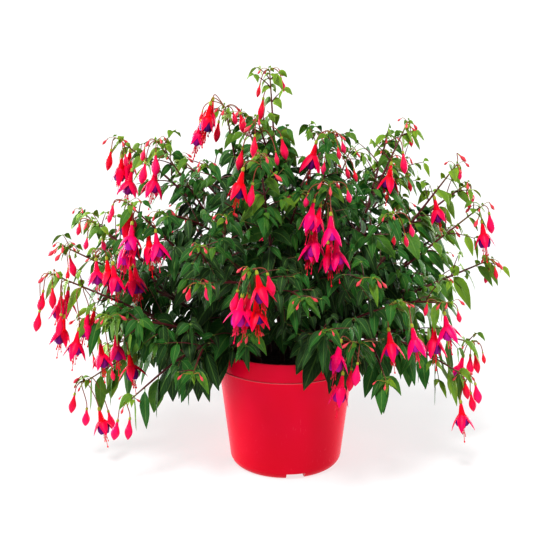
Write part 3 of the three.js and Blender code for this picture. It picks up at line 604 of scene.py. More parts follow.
def corolla_purple():
    """Soft petals, violet and darker towards their edge, with crimson veins from the tube."""
    finish = Finish(bpy.data.materials.new("corolla_purple"))
    tint = finish.held_value("tint")
    along = finish.held_value("along")
    across = finish.held_value("across")
    ray = abs((across * 3.5).math("FRACT") - 0.5).rise(0.05, 0.3)
    cloud = finish.noise(380.0, 2.0)
    body = finish.mix((tint * 1.1 + cloud * 0.4 - 0.2).held(), srgb(56, 4, 100), srgb(182, 8, 152))
    root = finish.mix(((1 - along.rise(0.0, 0.6)) * (1 - ray * 0.6)).held(), body, srgb(226, 16, 110))
    return finish.surface(root, 0.5 + cloud * 0.15, finish.bump(1 - ray, 0.15), Specular_IOR_Level=0.25)


def pot_red():
    """Moulded red plastic, a little scuffed and rubbed pale at its lip. Painted light and shade: darker
    towards its lit foot and lighter up at its band, which the foliage shades; and a painted highlight
    along the bead under its band.
    """
    finish = Finish(bpy.data.materials.new("pot_plastic"))
    height = finish.node("ShaderNodeSeparateXYZ", {}, (finish.place(),), "Z") * (1 / MM)
    flow = finish.noise(34.0, 2.0, (0.12, 0.12, 6.0))
    cloud = finish.noise(26.0, 3.0)
    scuff = finish.noise(700.0, 2.0, (1.0, 1.0, 0.15)).rise(0.62, 0.78) * cloud.rise(0.45, 0.7)
    # A painted highlight: the bead's pale line stands in for the light its lower edge catches. The lip's
    # paleness and the scuffs are wear.
    bead_painted_highlight = 1 - abs(height - BEAD_HEIGHT).rise(*BEAD_HIGHLIGHT_SPREAD)
    lip = height.rise(POT_HEIGHT - LIP_WEAR[0], POT_HEIGHT - LIP_WEAR[1])
    rubbed_and_highlit = (bead_painted_highlight * 0.85 + lip * 0.3) * (0.6 + cloud * 0.6) + scuff * 0.12
    # Painted light and shade: lighter up at the band, which the foliage shades, and darker towards the
    # lit foot.
    upper = height.rise(0.0, POT_HEIGHT)
    foot_red_painted_shade = finish.mix(cloud, srgb(210, 0, 34), srgb(218, 0, 48))
    band_red_painted_light = finish.mix(cloud, srgb(246, 0, 46), srgb(252, 0, 72))
    red = finish.mix(upper, foot_red_painted_shade, band_red_painted_light)
    worn_and_highlit = finish.mix(rubbed_and_highlit.held(), red, srgb(250, 130, 136))
    roughness = 0.2 + cloud * 0.06 + scuff * 0.2
    normal = finish.bump(flow + scuff * 0.1, 0.05)
    return finish.surface(worn_and_highlit, roughness, normal, Specular_IOR_Level=0.12)


def soil_dark():
    finish = Finish(bpy.data.materials.new("potting_soil"))
    crumb = finish.noise(330.0, 5.0)
    fleck = finish.noise(900.0, 1.0).rise(0.7, 0.74)
    brown = finish.mix(crumb, srgb(22, 15, 12), srgb(74, 52, 38))
    flecked = finish.mix(fleck * 0.6, brown, srgb(170, 150, 124))
    return finish.surface(flecked, 0.9 + crumb * 0.1, finish.bump(crumb, 2.0))


LEAF = leaf_green()
BARK = stem_bark()
RED = flower_red()
PURPLE = corolla_purple()

# Pot
POT_SEGMENTS = 160
RIM_RADIUS = RIM_DIAMETER / 2
RIM_BAND = 21
RIM_ROUNDING = 1.1
BAND_STEP = 2.6
BAND_SLOPE = 1
BEAD_RADIUS = 0.55  # of the rounded bead along the band's lower edge
BEAD_PROUD = 0.35
BEAD_HEIGHT = POT_HEIGHT - RIM_BAND + BEAD_RADIUS
BEAD_STEPS = 8
BEAD_HIGHLIGHT_SPREAD = (0.3, 0.9)  # how far from its middle the bead carries its painted highlight in full and not at all
LIP_WEAR = (0.9, 0.2)  # how far below the rim the lip starts to be rubbed and is so in full
BASE_RADIUS = BASE_DIAMETER / 2
FOOT_HEIGHT = 11
FOOT_SPREAD = 9
FOOT_STEPS = 14
EDGE_STEPS = 5
CHANNEL_COUNT = 4
CHANNEL_WIDTH = 20
CHANNEL_HEIGHT = 7
CHANNEL_START = 30
FIRST_CHANNEL = math.radians(280)
DRAIN_RADIUS = 5
DRAIN_SIDES = 32
OVERRUN = 1


def quarter(steps):
    """Angles over a quarter turn."""
    return [math.pi / 2 * k / steps for k in range(steps + 1)]


def inside_radius(height):
    """Radius of the pot's inside at a height above its foot."""
    foot_wall = BASE_RADIUS + FOOT_SPREAD - POT_WALL
    top_wall = RIM_RADIUS - BAND_STEP - POT_WALL
    share = (height - FOOT_HEIGHT) / (POT_HEIGHT - RIM_BAND - FOOT_HEIGHT)
    return foot_wall + (top_wall - foot_wall) * share


def pot_outline():
    """(radius, height) up the outside of the pot and in over its rim."""
    band_bottom = POT_HEIGHT - RIM_BAND
    outline = [(0, 0)]
    for angle in quarter(FOOT_STEPS):
        radius = BASE_RADIUS + FOOT_SPREAD * math.sin(angle)
        outline.append((radius, FOOT_HEIGHT * (1 - math.cos(angle))))
    outline.append((RIM_RADIUS - BAND_STEP, band_bottom - BAND_SLOPE))
    for k in range(BEAD_STEPS + 1):
        angle = math.pi * (k / BEAD_STEPS - 0.5)
        radius = RIM_RADIUS - BEAD_RADIUS + (BEAD_RADIUS + BEAD_PROUD) * math.cos(angle)
        outline.append((radius, BEAD_HEIGHT + BEAD_RADIUS * math.sin(angle)))
    for angle in quarter(EDGE_STEPS):
        radius = RIM_RADIUS - RIM_ROUNDING * (1 - math.cos(angle))
        outline.append((radius, POT_HEIGHT - RIM_ROUNDING * (1 - math.sin(angle))))
    return [*outline, (0, POT_HEIGHT)]


def cavity_outline():
    """(radius, height) up the inside of the pot and out past its rim."""
    outline = [(0, POT_WALL), (BASE_RADIUS - POT_WALL / 2, POT_WALL)]
    outline.append((inside_radius(FOOT_HEIGHT), FOOT_HEIGHT))
    lip = inside_radius(POT_HEIGHT)
    for angle in quarter(EDGE_STEPS):
        radius = lip + RIM_ROUNDING * (1 - math.cos(angle))
        outline.append((radius, POT_HEIGHT - RIM_ROUNDING * (1 - math.sin(angle))))
    top = POT_HEIGHT + OVERRUN
    return [*outline, (lip + RIM_ROUNDING, top), (0, top)]


def turned(outline, segments):
    """A bmesh of an outline turned about the upright axis, which it starts and ends on."""
    shape = bmesh.new()
    rings = []
    for radius, height in outline:
        if radius == 0:
            rings.append([shape.verts.new((0, 0, height * MM))])
            continue
        ring = []
        for i in range(segments):
            angle = 2 * math.pi * i / segments
            point = Vector((radius * math.cos(angle), radius * math.sin(angle), height)) * MM
            ring.append(shape.verts.new(point))
        rings.append(ring)
    for near, far in zip(rings, rings[1:]):
        for i in range(segments):
            j = (i + 1) % segments
            corners = [near[i % len(near)], near[j % len(near)], far[j % len(far)], far[i % len(far)]]
            shape.faces.new(dict.fromkeys(corners))
    bmesh.ops.recalc_face_normals(shape, faces=shape.faces)
    return shape


def mesh_of(shape, name):
    mesh = bpy.data.meshes.new(name)
    shape.to_mesh(mesh)
    shape.free()
    return mesh


def cut(piece, other):
    """Takes one scratch object away from another."""
    step = piece.modifiers.new("fit", "BOOLEAN")
    step.operation = "DIFFERENCE"
    step.object = other
    step.solver = "EXACT"
    view = bpy.context.evaluated_depsgraph_get()
    mesh = bpy.data.meshes.new_from_object(piece.evaluated_get(view))
    piece.modifiers.clear()
    piece.data = mesh
    bpy.data.objects.remove(other)


def channel_bar(bearing, start, width, height, bottom=0.0):
    """A bar across the pot's base from near its middle out past its edge."""
    shape = bmesh.new()
    bmesh.ops.create_cube(shape, size=1.0)
    length = RIM_RADIUS - start
    for vert in shape.verts:
        x = start + length * (vert.co.x + 0.5)
        y = width * vert.co.y
        vert.co = Vector((
            (x * math.cos(bearing) - y * math.sin(bearing)) * MM,
            (x * math.sin(bearing) + y * math.cos(bearing)) * MM,
            (bottom + (height - bottom) * (vert.co.z + 0.5)) * MM,
        ))
    return linked("bar", mesh_of(shape, "bar"))


def drain_plug(bearing):
    """A round plug that cuts a drain hole through the floor over a channel."""
    corners = [(DRAIN_RADIUS, -OVERRUN), (DRAIN_RADIUS, FOOT_HEIGHT)]
    shape = turned([(0, -OVERRUN), *corners, (0, FOOT_HEIGHT)], DRAIN_SIDES)
    reach = CHANNEL_START + CHANNEL_WIDTH / 2
    shift = Vector((reach * math.cos(bearing) * MM, reach * math.sin(bearing) * MM, 0))
    bmesh.ops.translate(shape, verts=shape.verts, vec=shift)
    return linked("drain", mesh_of(shape, "drain"))


def make_pot():
    outside = linked("pot_outside", mesh_of(turned(pot_outline(), POT_SEGMENTS), "pot_outside"))
    cavity = linked("pot_cavity", mesh_of(turned(cavity_outline(), POT_SEGMENTS), "pot_cavity"))
    bearings = [FIRST_CHANNEL + 2 * math.pi * k / CHANNEL_COUNT for k in range(CHANNEL_COUNT)]
    roof = (CHANNEL_START - POT_WALL, CHANNEL_WIDTH + 2 * POT_WALL, CHANNEL_HEIGHT + POT_WALL)
    for bearing in bearings:
        cut(cavity, channel_bar(bearing, *roof))
    cut(outside, cavity)
    for bearing in bearings:
        cut(outside, channel_bar(bearing, CHANNEL_START, CHANNEL_WIDTH, CHANNEL_HEIGHT, -OVERRUN))
        cut(outside, drain_plug(bearing))
    mesh = outside.data
    bpy.data.objects.remove(outside)
    dress(mesh, "pot_shell", pot_red(), "pot_plastic", "pot")


# Soil
SOIL_SEGMENTS = 120
SOIL_RINGS = 44
SOIL_BOTTOM = CHANNEL_HEIGHT + POT_WALL + CLEAR
SOIL_DIP = 3  # how much lower the soil lies along the pot's wall
CRUMB_HEIGHT = 2.4
CRUMB_SCALE = 260  # of the noise that the crumbs follow
CRUMB_NOISE = (0.8, 2.0, 4)  # its increment, lacunarity and octaves
CRUMB_EDGE = 1  # left without crumbs along the pot's wall


def make_soil():
    """A plug with a crumbly top that lies lower along the pot's wall."""
    edge = inside_radius(SOIL_LEVEL) - 2 * CLEAR
    outline = [(0, SOIL_BOTTOM), (BASE_RADIUS - POT_WALL - CLEAR, SOIL_BOTTOM)]
    outline.append((inside_radius(FOOT_HEIGHT) - 2 * CLEAR, FOOT_HEIGHT))
    for k in range(SOIL_RINGS, -1, -1):
        share = k / SOIL_RINGS
        outline.append((edge * share, SOIL_LEVEL - SOIL_DIP * share**3))
    shape = turned(outline, SOIL_SEGMENTS)
    lowest = (SOIL_LEVEL - SOIL_DIP - CRUMB_EDGE) * MM
    for vert in shape.verts:
        if vert.co.z > lowest and vert.co.xy.length < (edge - CRUMB_EDGE) * MM:
            crumbs = noise.fractal(vert.co * CRUMB_SCALE, *CRUMB_NOISE)
            vert.co.z += crumbs * CRUMB_HEIGHT * MM
    dress(mesh_of(shape, "soil_plug"), "soil_plug", soil_dark(), "soil", "soil")


# Stems and shoots
STEM_RADIUS = STEM_DIAMETER / 2
SIDE_SHOOT_RADIUS = 1.5
SHOOT_TIP_RADIUS = 0.7
FIRST_SHOOT_STRETCHES = 6
SIDE_SHOOT_STRETCHES = 3
LATE_ARCH = 0.4  # the share of its arch that a shoot keeps towards its tip
HOLE_DEPTH = 25
COLLAR_HEIGHT = 7  # how far a stem stands above the soil before it leans
SHOOT_STEPS = 22
SHOOT_SIDES = 8
WAY_STEP = 0.01  # the share of a shoot before and after a place that gives its way there
JOINT_SWELL = 0.3  # how much thicker a shoot is where a pair of leaves springs
JOINT_GAP = 19
JOINT_SHARPNESS = 6
STEM_AGEING = 1.5  # a higher power keeps the bark brown for longer
SIDE_SHOOT_BARK = 0.3  # how young a side shoot's bark is where it leaves its stem


def plan_shoot(start, tip, arch, radius, stretches):
    lean = unit(spot(tip[0] - start[0], tip[1] - start[1], 0))
    return SimpleNamespace(
        corners=(
            start,
            blend(start, tip, 1 / 3) + UP * arch,
            blend(start, tip, 2 / 3) + UP * arch * LATE_ARCH,
            tip,
        ),
        side=np.cross(UP, lean),
        radius=radius,
        stretches=stretches,
        length=np.linalg.norm(tip - start),
    )


def place_on(shoot, along):
    """The point on a shoot's middle line, and the way it runs there."""
    near, point, far = bezier(shoot.corners, [along - WAY_STEP, along, along + WAY_STEP])
    return point, unit(far - near)


def plan_branch(hole, shoots):
    foot = spot(*hole, SOIL_LEVEL + COLLAR_HEIGHT)
    planned = []
    for order, (parent, along, tip_x, tip_y, tip_z, arch) in enumerate(shoots):
        tip = spot(tip_x, tip_y, tip_z)
        if order == 0:
            planned.append(plan_shoot(foot, tip, arch, STEM_RADIUS, FIRST_SHOOT_STRETCHES))
        else:
            start = place_on(planned[parent], along)[0]
            planned.append(plan_shoot(start, tip, arch, SIDE_SHOOT_RADIUS, SIDE_SHOOT_STRETCHES))
    return planned


def grow_shoot(wood, shoot, rooted):
    shares = np.linspace(0, 1, SHOOT_STEPS)
    path = bezier(shoot.corners, shares)
    joints = np.cos(shares * shoot.length / JOINT_GAP * 2 * math.pi) ** JOINT_SHARPNESS
    radii = blend(shoot.radius, SHOOT_TIP_RADIUS, shares) + JOINT_SWELL * joints * (1 - shares)
    youth = shares**STEM_AGEING if rooted else blend(SIDE_SHOOT_BARK, 1, shares)
    if rooted:
        bottom = shoot.corners[0].copy()
        bottom[2] = SOIL_LEVEL - HOLE_DEPTH + CLEAR
        path = np.concatenate([[bottom], path])
        radii = np.concatenate([[shoot.radius], radii])
        youth = np.concatenate([[0.0], youth])
    wood.tube(path, radii, SHOOT_SIDES, youth=youth)


# Leaves along a shoot
LEAF_GAP = 71  # between the pairs of large leaves, which the solids have too
BARE_SHARE = 0.21  # of a shoot, before its first large leaves
FILLER_GAP = 15  # between the pairs of smaller leaves
FILLER_BARE = 0.04
FILLER_SIZES = (0.95, 0.9)  # of high and of low shoots
FILLER_SHRINKS = (0.66, 0.15)
NEAR_MAIN = 5  # a smaller pair this near to a large pair is left out
LOW_FROM = 220  # shoots whose tips are lower than this carry leaves that hang down
LOW_RANGE = 90
RIM_SHOOTS = {("skirt_near", 2)}  # low as well, but with short leaves that leave the rim free
PAIR_PLACE = 0.9  # a pair's place in its own stretch of the shoot
LAST_PLACE = 0.97
SPIN_CHANCE = (-0.45, 0.45)  # radians
FLATTENING = 0.7  # how far leaves that spring from above and below turn level
FORWARD = 0.55  # how far a leaf leans along its shoot
DROOP = (0.25, 0.6)
SIZE_CHANCE = (0.85, 1.15)
SIDE_SHOOT_YOUTH = 0.35  # a side shoot's first leaves are smaller than a stem's
TIP_SHRINK = 0.5  # how much shorter the leaves at a tip are

# The form of a leaf
LEAF_WIDTH_RATIOS = (0.46, 0.34)  # of old and of young leaves
LEAF_SAG = (0.3, 0.68)
LEAF_ARCH = (0.28, 0.6)  # how far an old and a young blade first rise, and then hang over again
LEAF_FACING = 60  # how far a face looks outwards, and as far up
LEAF_SCATTER = 75  # how far it looks some other way by chance
TO_LIGHT = np.array([0.0, -45.0, 0.0])  # and towards the front
LEAF_BENDS = (0, 0.6, -0.6, 1.3)  # turns up or down, tried until a blade is clear of the pot
HANG_DROP = 1.3  # how far a hanging leaf turns down
HANG_STIFFNESS = 0.6  # how much of its sag it loses
LEAF_THICKNESS = 0.45
LEAF_FOLD = (0.02, 0.34)  # how far the halves rise from the rib, as a share of half the width
LEAF_CURL = 0.16  # how far their edges turn down again
LEAF_WAVES = 14  # how fast the edges go up and down along a blade
LEAF_WAVE_HEIGHT = 0.05
LEAF_ROLL = (-0.3, 0.3)  # radians
LEAF_ROWS = (0.0, 0.12, 0.27, 0.43, 0.6, 0.76, 0.9, 1.0)
LEAF_WIDTHS = (0.1, 0.58, 0.93, 1.0, 0.88, 0.6, 0.28, 0.03)
LEAF_COLUMNS = np.array([-1.0, -0.5, 0.0, 0.5, 1.0])
SMALL_LEAF = 16  # a blade shorter than this is made with fewer points
SMALL_ROWS = (0.0, 0.2, 0.45, 0.72, 0.9, 1.0)
SMALL_WIDTHS = (0.1, 0.75, 1.0, 0.62, 0.22, 0.03)
SMALL_COLUMNS = np.array([-1.0, 0.0, 1.0])
LEAF_STALK = 0.12  # share of the length
LEAF_STALK_POINTS = (0.6, 0.4)  # shares of the stalk, and of the blade's first row past it
LEAF_STALK_RADII = (0.5, 0.45, 0.25)
LEAF_STALK_SIDES = 4
LEAF_STALK_YOUTH = 0.4  # how far its green goes from its blade's to a young leaf's

# The green of a leaf, with painted light and shade in it
PLANT_MIDDLE = np.array([-15, 0, 200])
OUTER_SHAPE = np.array([1.0, 0.5, 1.0])  # the plant counts as half as deep as it is
OUTER_REACH = (95, 200)  # leaves turn fresher, lighter green from this far out to that far: partly the youth of the outer growth, partly painted light on the lit outer leaves
OUTER_YOUTH_AND_LIGHT = (1, 0.7)  # of small and of large leaves
OUTER_LENGTHS = (20, 45)
PAINTED_LIGHT_SPOTS = np.array([(-15, -95, 310), (105, -85, 285)])  # round these they are painted lighter as well, painted pools of light on the front
PAINTED_LIGHT_REACH = (35, 85)
PAINTED_LIGHT_SHARE = 0.5
MIDDLE_SHADED_YOUTH = 0.55  # of the youth that the outer tips have, kept by young leaves in the middle: painted shade there

# Room for the pot and the flowers
POT_ROOM = 2
BACK_FROM = 40  # flowers further back than this are seen from the back
FRONT_WAY = (0, -1, 0.3)  # towards the eye
FLOWER_SHAPE = np.array([1.0, 1.0, 0.6])  # a flower is longer than it is wide
FLOWER_ROOM = 8.5
FLOWER_BACK = 5
VIEW_ROOM = 110  # kept free in front of a flower
HIDDEN_SHARE = 0.16  # a blade with more of its points there is left out


def pair_turns(seed, pair):
    """The draw and the turn round the shoot of each leaf of a pair, a quarter on from the last."""
    for half in (0, 1):
        draw = seed + pair * PAIR_DRAWS + half * HALF_DRAWS
        yield draw, math.pi * (half + pair % 2 / 2) + between(draw, SPIN_CHANCE)


def plan_leaf(root, direction, length, youth, place, draw):
    return SimpleNamespace(
        root=root,
        direction=unit(direction),
        length=length * between(draw + 2, SIZE_CHANCE),
        sag=between(draw + 3, LEAF_SAG),
        youth=youth,
        place=place,
        hang=0,
        draw=draw,
    )


def plan_leaves(shoot, rooted, seed, gap, bare, size, shrink):
    """Opposite pairs along a shoot, each pair turned a quarter from the last, smaller towards the tip."""
    leaves = []
    pairs = max(1, round(shoot.length * (1 - bare) / gap))
    for pair in range(pairs):
        place = min(bare + (1 - bare) * (pair + PAIR_PLACE) / pairs, LAST_PLACE)
        point, travel = place_on(shoot, place)
        over = np.cross(travel, shoot.side)
        youth = place**3 if rooted else blend(SIDE_SHOOT_YOUTH, 1, place**2)
        length = LEAF_LENGTH * size * (1 - shrink * youth)
        for draw, spin in pair_turns(seed, pair):
            direction = travel * FORWARD + shoot.side * math.cos(spin)
            direction = direction + over * FLATTENING * math.sin(spin) - UP * between(draw + 1, DROOP)
            leaves.append(plan_leaf(point, direction, length, youth, place, draw))
    return leaves


def meets_pot(points):
    """Whether any point lies in the pot's wall or the soil."""
    radius = np.hypot(points[..., 0], points[..., 1])
    over_soil = radius < inside_radius(SOIL_LEVEL) - POT_ROOM
    floor = np.where(over_soil, SOIL_LEVEL + POT_ROOM, POT_HEIGHT + POT_ROOM)
    return bool(np.any((radius < RIM_RADIUS + POT_ROOM) & (points[..., 2] < floor)))


def leaf_grid(leaf, bend, rows, widths, columns):
    """The points of a blade with its two halves raised from the rib, hanging over at its tip."""
    arch = blend(*LEAF_ARCH, leaf.youth)
    arch *= 1 - leaf.hang
    heading = unit(leaf.direction + UP * (bend + arch - HANG_DROP * leaf.hang))
    sag = leaf.sag * (1 - HANG_STIFFNESS * leaf.hang) + arch
    reach = leaf.length / (1 + sag * sag / 3)
    turn = 2 * math.pi * chance(leaf.draw + 7)
    sideways = spot(math.cos(turn), math.sin(turn), 0) * LEAF_SCATTER
    radial = unit(spot(leaf.root[0], leaf.root[1], 0)) * LEAF_FACING
    outward = unit(radial + sideways + UP * LEAF_FACING + TO_LIGHT)
    roll = between(leaf.draw + 4, LEAF_ROLL)
    fold = between(leaf.draw + 5, LEAF_FOLD)
    shares = LEAF_STALK + (1 - LEAF_STALK) * np.array(rows)
    half = leaf.length * blend(*LEAF_WIDTH_RATIOS, leaf.youth) / 2 * np.array(widths)
    wave = np.sin(shares * LEAF_WAVES + leaf.draw)
    grid = np.empty((len(shares), len(columns), 3))
    for row, share in enumerate(shares):
        travel = unit(heading - UP * 2 * sag * share)
        across = unit(np.cross(outward, travel))
        face = np.cross(travel, across)
        across, face = (
            across * math.cos(roll) + face * math.sin(roll),
            face * math.cos(roll) - across * math.sin(roll),
        )
        centre = leaf.root + heading * reach * share - UP * reach * sag * share**2
        for column, t in enumerate(columns):
            lift = fold * abs(t) - LEAF_CURL * t * t + LEAF_WAVE_HEIGHT * wave[row] * abs(t)
            grid[row, column] = centre + across * half[row] * t + face * half[row] * lift
    return grid


def flower_places(plans):
    """Where the flowers hang, and the way that each is seen from."""
    centres = []
    for on, hang in SPRAYS.values():
        tip = plans[on[0]][on[1]].corners[3]
        centres += [tip + spot(*place) for kind, *place in hang if kind not in ("nub", "small")]
    centres = np.array(centres)
    level = centres * spot(1, 1, 0)
    ways = units(np.where(centres[:, 1:2] < BACK_FROM, spot(*FRONT_WAY), level))
    return SimpleNamespace(centres=centres, ways=ways)


def hides_flower(points, hung):
    """Whether a blade lies in a flower or close in front of it."""
    away = points.reshape(-1, 1, 3) - hung.centres
    ahead = (away * hung.ways).sum(2)
    beside = np.linalg.norm((away - ahead[..., None] * hung.ways) * FLOWER_SHAPE, axis=2)
    hidden = (beside < FLOWER_ROOM) & (ahead > -FLOWER_BACK) & (ahead < VIEW_ROOM)
    return bool(np.any(hidden.mean(axis=0) > HIDDEN_SHARE))


def leaf_youth_and_light(leaf):
    """How fresh and light a leaf's green is: young leaves by their youth; outer leaves partly by youth
    and partly as painted light; those round the painted light spots as painted light; young leaves in the
    middle keep less, as painted shade.
    """
    outer = np.interp(np.linalg.norm((leaf.root - PLANT_MIDDLE) * OUTER_SHAPE), OUTER_REACH, (0, 1))
    outer *= np.interp(leaf.length, OUTER_LENGTHS, OUTER_YOUTH_AND_LIGHT)
    beside = np.linalg.norm(PAINTED_LIGHT_SPOTS - leaf.root, axis=1).min()
    bright = np.interp(beside, PAINTED_LIGHT_REACH, (PAINTED_LIGHT_SHARE, 0))
    return max(leaf.youth**3 * blend(MIDDLE_SHADED_YOUTH, 1, outer), outer, bright)


def grow_leaf(blades, leaf, hung=None):
    rows, widths, columns = LEAF_ROWS, LEAF_WIDTHS, LEAF_COLUMNS
    if leaf.length < SMALL_LEAF:
        rows, widths, columns = SMALL_ROWS, SMALL_WIDTHS, SMALL_COLUMNS
    for bend in LEAF_BENDS:
        grid = leaf_grid(leaf, bend, rows, widths, columns)
        if not meets_pot(grid):
            break
    else:
        return
    if hung and hides_flower(grid, hung):
        return
    values = {"along": np.array(rows)[:, None], "across": columns[None, :], "youth": leaf_youth_and_light(leaf)}
    tint = chance(leaf.draw + 6)
    blades.sheet(grid, LEAF_THICKNESS, tint=tint, **values)
    rib = len(columns) // 2
    bent, last = LEAF_STALK_POINTS
    stalk = [leaf.root, blend(leaf.root, grid[0, rib], bent), blend(grid[0, rib], grid[1, rib], last)]
    youth = blend(leaf.youth, 1, LEAF_STALK_YOUTH)
    blades.tube(stalk, LEAF_STALK_RADII, LEAF_STALK_SIDES, youth=youth, tint=tint)


# Twigs
TWIG_SHARE = 0.85  # of the leaves have a twig in their axil
THINNER_SHARES = {"crown_left": 0.5, "right": 0.6, "right_low": 0.6}
TWIG_LOSS = 0.85  # towards a shoot's tip
HANGING_LOSS = 0.4
TWIG_LENGTH = (26, 62)
TWIG_SHRINK = 0.55  # how much shorter twigs are towards a shoot's tip
TWIG_RISE = 0.5
TWIG_ARCH = 0.12  # share of the length
TWIG_RADII = (0.7, 0.35)
TWIG_STEPS = 6
TWIG_SIDES = 5
TWIG_BARK = 0.5
TWIG_BARE = 0.35
TWIG_GAP = 13
TWIG_LEAF_SIZE = 0.62


def grow_twigs(wood, blades, leaf, hung, share):
    """A short leafy twig from the axil of a leaf."""
    seed = leaf.draw + TWIG_DRAWS
    if chance(seed) > share * (1 - TWIG_LOSS * leaf.place**3) * (1 - HANGING_LOSS * leaf.hang):
        return
    heading = unit(leaf.direction + UP * TWIG_RISE)
    length = between(seed + 1, TWIG_LENGTH) * (1 - TWIG_SHRINK * leaf.place)
    tip = leaf.root + heading * length
    if meets_pot(tip[None, :]):
        return
    twig = plan_shoot(leaf.root, tip, length * TWIG_ARCH, TWIG_RADII[0], 1)
    shares = np.linspace(0, 1, TWIG_STEPS)
    radii = blend(*TWIG_RADII, shares)
    wood.tube(bezier(twig.corners, shares), radii, TWIG_SIDES, youth=blend(TWIG_BARK, 1, shares))
    small_leaves = plan_leaves(twig, False, seed + 2, TWIG_GAP, TWIG_BARE, TWIG_LEAF_SIZE, TIP_SHRINK)
    for small in small_leaves:
        small.youth = leaf.place**2 * small.youth
        grow_leaf(blades, small, hung)


# Tufts of young leaves
TUFT_LENGTHS = (17, 12, 8)  # of its pairs, from the lowest
TUFT_STEP = 3.5
TUFT_RISE = 0.5
TUFT_FORWARD = (0.35, 0.5)  # how far the lowest pair leans along the shoot, and each next one more


def grow_tuft(blades, shoot, seed):
    """The crowded young leaves at a shoot's tip."""
    tip, travel = place_on(shoot, 1.0)
    travel = unit(travel + UP * TUFT_RISE)
    over = np.cross(travel, shoot.side)
    lowest, more = TUFT_FORWARD
    for pair, length in enumerate(TUFT_LENGTHS):
        root = tip + travel * TUFT_STEP * (pair - 1)
        for draw, spin in pair_turns(seed, pair):
            direction = travel * (lowest + more * pair) + shoot.side * math.cos(spin)
            direction = direction + over * math.sin(spin)
            grow_leaf(blades, plan_leaf(root, direction, length, 1.0, 1.0, draw))


# Flowers
FLOWER_SIDES = 4
FLOWER_LEAN = 0.22  # how far flowers point away from their shoot
STRIP_RADIUS = 1  # of the solids' strip that runs under a shoot and carries its stalks
SOLID_TIP_RADIUS = 1  # of a shoot in the solids
CURL = 3.6  # how far ahead of a shoot's tip that strip ends
STALK_DROP = 18  # how far above a flower its stalk starts
STALK_RADIUS = 0.52
STALK_STEPS = 10
STALK_SIDES = 6
STALK_START = (0.25, 0.3, 0.18)  # how far it first runs along its shoot, outwards and up
STALK_HANG = 0.42  # the share of it that bends down to the flower
STALK_GREEN = (0.67, 0.42)  # at the shoot and at the flower

# Buds
BUD_SIZES = {"bud": 1, "small": 0.62, "nub": 0.5}  # of grown, half-grown and young buds
BUD_PALENESS = {"bud": 0.08, "small": 0.25, "nub": 0.8}
NUB_LEAN = 1.1
# (share of the length, radius, green) down a bud from its stalk to its point
BUD_PROFILE = (
    (0.0, 0.6, 0.5), (0.02, 1.1, 0.9), (0.07, 1.5, 1.0), (0.11, 1.35, 0.8), (0.15, 1.15, 0.1),
    (0.24, 1.45, 0.0), (0.33, 2.0, 0.0), (0.41, 2.7, 0.0), (0.49, 3.35, 0.0), (0.56, 3.8, 0.0),
    (0.63, 4.0, 0.0), (0.7, 3.9, 0.0), (0.77, 3.5, 0.0), (0.84, 2.8, 0.0), (0.9, 2.0, 0.0),
    (0.95, 1.15, 0.0), (0.985, 0.45, 0.0), (1.0, 0.1, 0.0),
)
BUD_SHARES, BUD_RADII, BUD_GREEN = np.array(BUD_PROFILE).T
BUD_SIDES = 16
BUD_TUBE = 0.4  # the share of a bud above the ridges where its sepals meet
BUD_RIDGE = 0.05  # share of the radius
BUD_RIDGES = np.where(BUD_SHARES > BUD_TUBE, BUD_RIDGE, 0)
PLUMPNESS = (0.86, 1.18)

# Open flowers
# (drop below the mouth, radius, green) down an open flower's ovary and tube
TUBE_PROFILE = (
    (-14.0, 0.6, 0.6), (-13.4, 1.2, 0.9), (-12.0, 1.7, 1.0), (-10.2, 1.75, 0.9), (-9.0, 1.4, 0.1),
    (-7.5, 1.8, 0.0), (-5.0, 2.3, 0.0), (-2.5, 2.7, 0.0), (0.0, 3.2, 0.0), (1.8, 3.7, 0.0),
    (2.6, 3.2, 0.0),
)
TUBE_DROPS, TUBE_RADII, TUBE_GREEN = np.array(TUBE_PROFILE).T
TUBE_SIDES = 14
# how much of the flowers' painted highlight the tube gets
TUBE_PAINTED_LIGHT = 0.1
BLOOM_MIDDLE = 9  # from the tube's mouth down to the middle of the flower
BLOOM_SCALE = (0.92, 1.08)

# Sepals. The places on a curve are down the flower's axis and out from it.
SEPAL_START = (0.6, 2.6)
SEPAL_WIDTH = 8.8
SEPAL_THICKNESS = 0.5
SEPAL_CUPPING = 0.42  # how far its edges turn in, as a share of half the width
SEPAL_ROWS = (0.0, 0.12, 0.27, 0.44, 0.6, 0.75, 0.87, 0.95, 1.0)
SEPAL_WIDTHS = (0.62, 0.84, 1.0, 0.98, 0.84, 0.6, 0.36, 0.16, 0.03)
SEPAL_COLUMNS = np.array([-1.0, -0.5, 0.0, 0.5, 1.0])
WIDE_ROOT = 1.65
WIDE_OPENING = 0.64  # radians from straight down, of its upper half
WIDE_TIP_OPENING = 0.34  # of its lower half
WIDE_KNEE = 0.5  # share of the length
WIDE_BOW = 1.5
WIDE_BENDS = (0.7, 0.3)  # shares of the upper and of the lower half
BELL_DEPTH = 4  # of a half-open flower, whose sepals part below the end of its tube
BELL_RADIUS = 4.8
HANGING_DROP = (0.5, 0.72)
HANGING_SPREAD = (0.14, 0.46)
HANGING_START = (2.8, 4.6)  # from its root to the curve's first corner
HANGING_END = (8, 2.6)  # from the curve's second corner to its point

# Petals
PETAL_ROWS = 8
PETAL_COLUMNS = 7
PETAL_THICKNESS = 0.3
PETAL_SWEEP = math.radians(66)
PETAL_ROOT_SWEEP = 0.75  # share of the sweep
PETAL_SWELL = (0.05, 0.67)  # the part of a half wave that its swelling follows
PETAL_REACH = (0.3, 1.02)
PETAL_LAP = 0.45  # how far one edge lies over the neighbour
PETAL_ROUNDING = 0.26
WIDE_PETAL = (1.5, 12.5, 6.9)  # start below the mouth, length and radius
FOLDED_PETAL = (1.0, 15, 5.8)

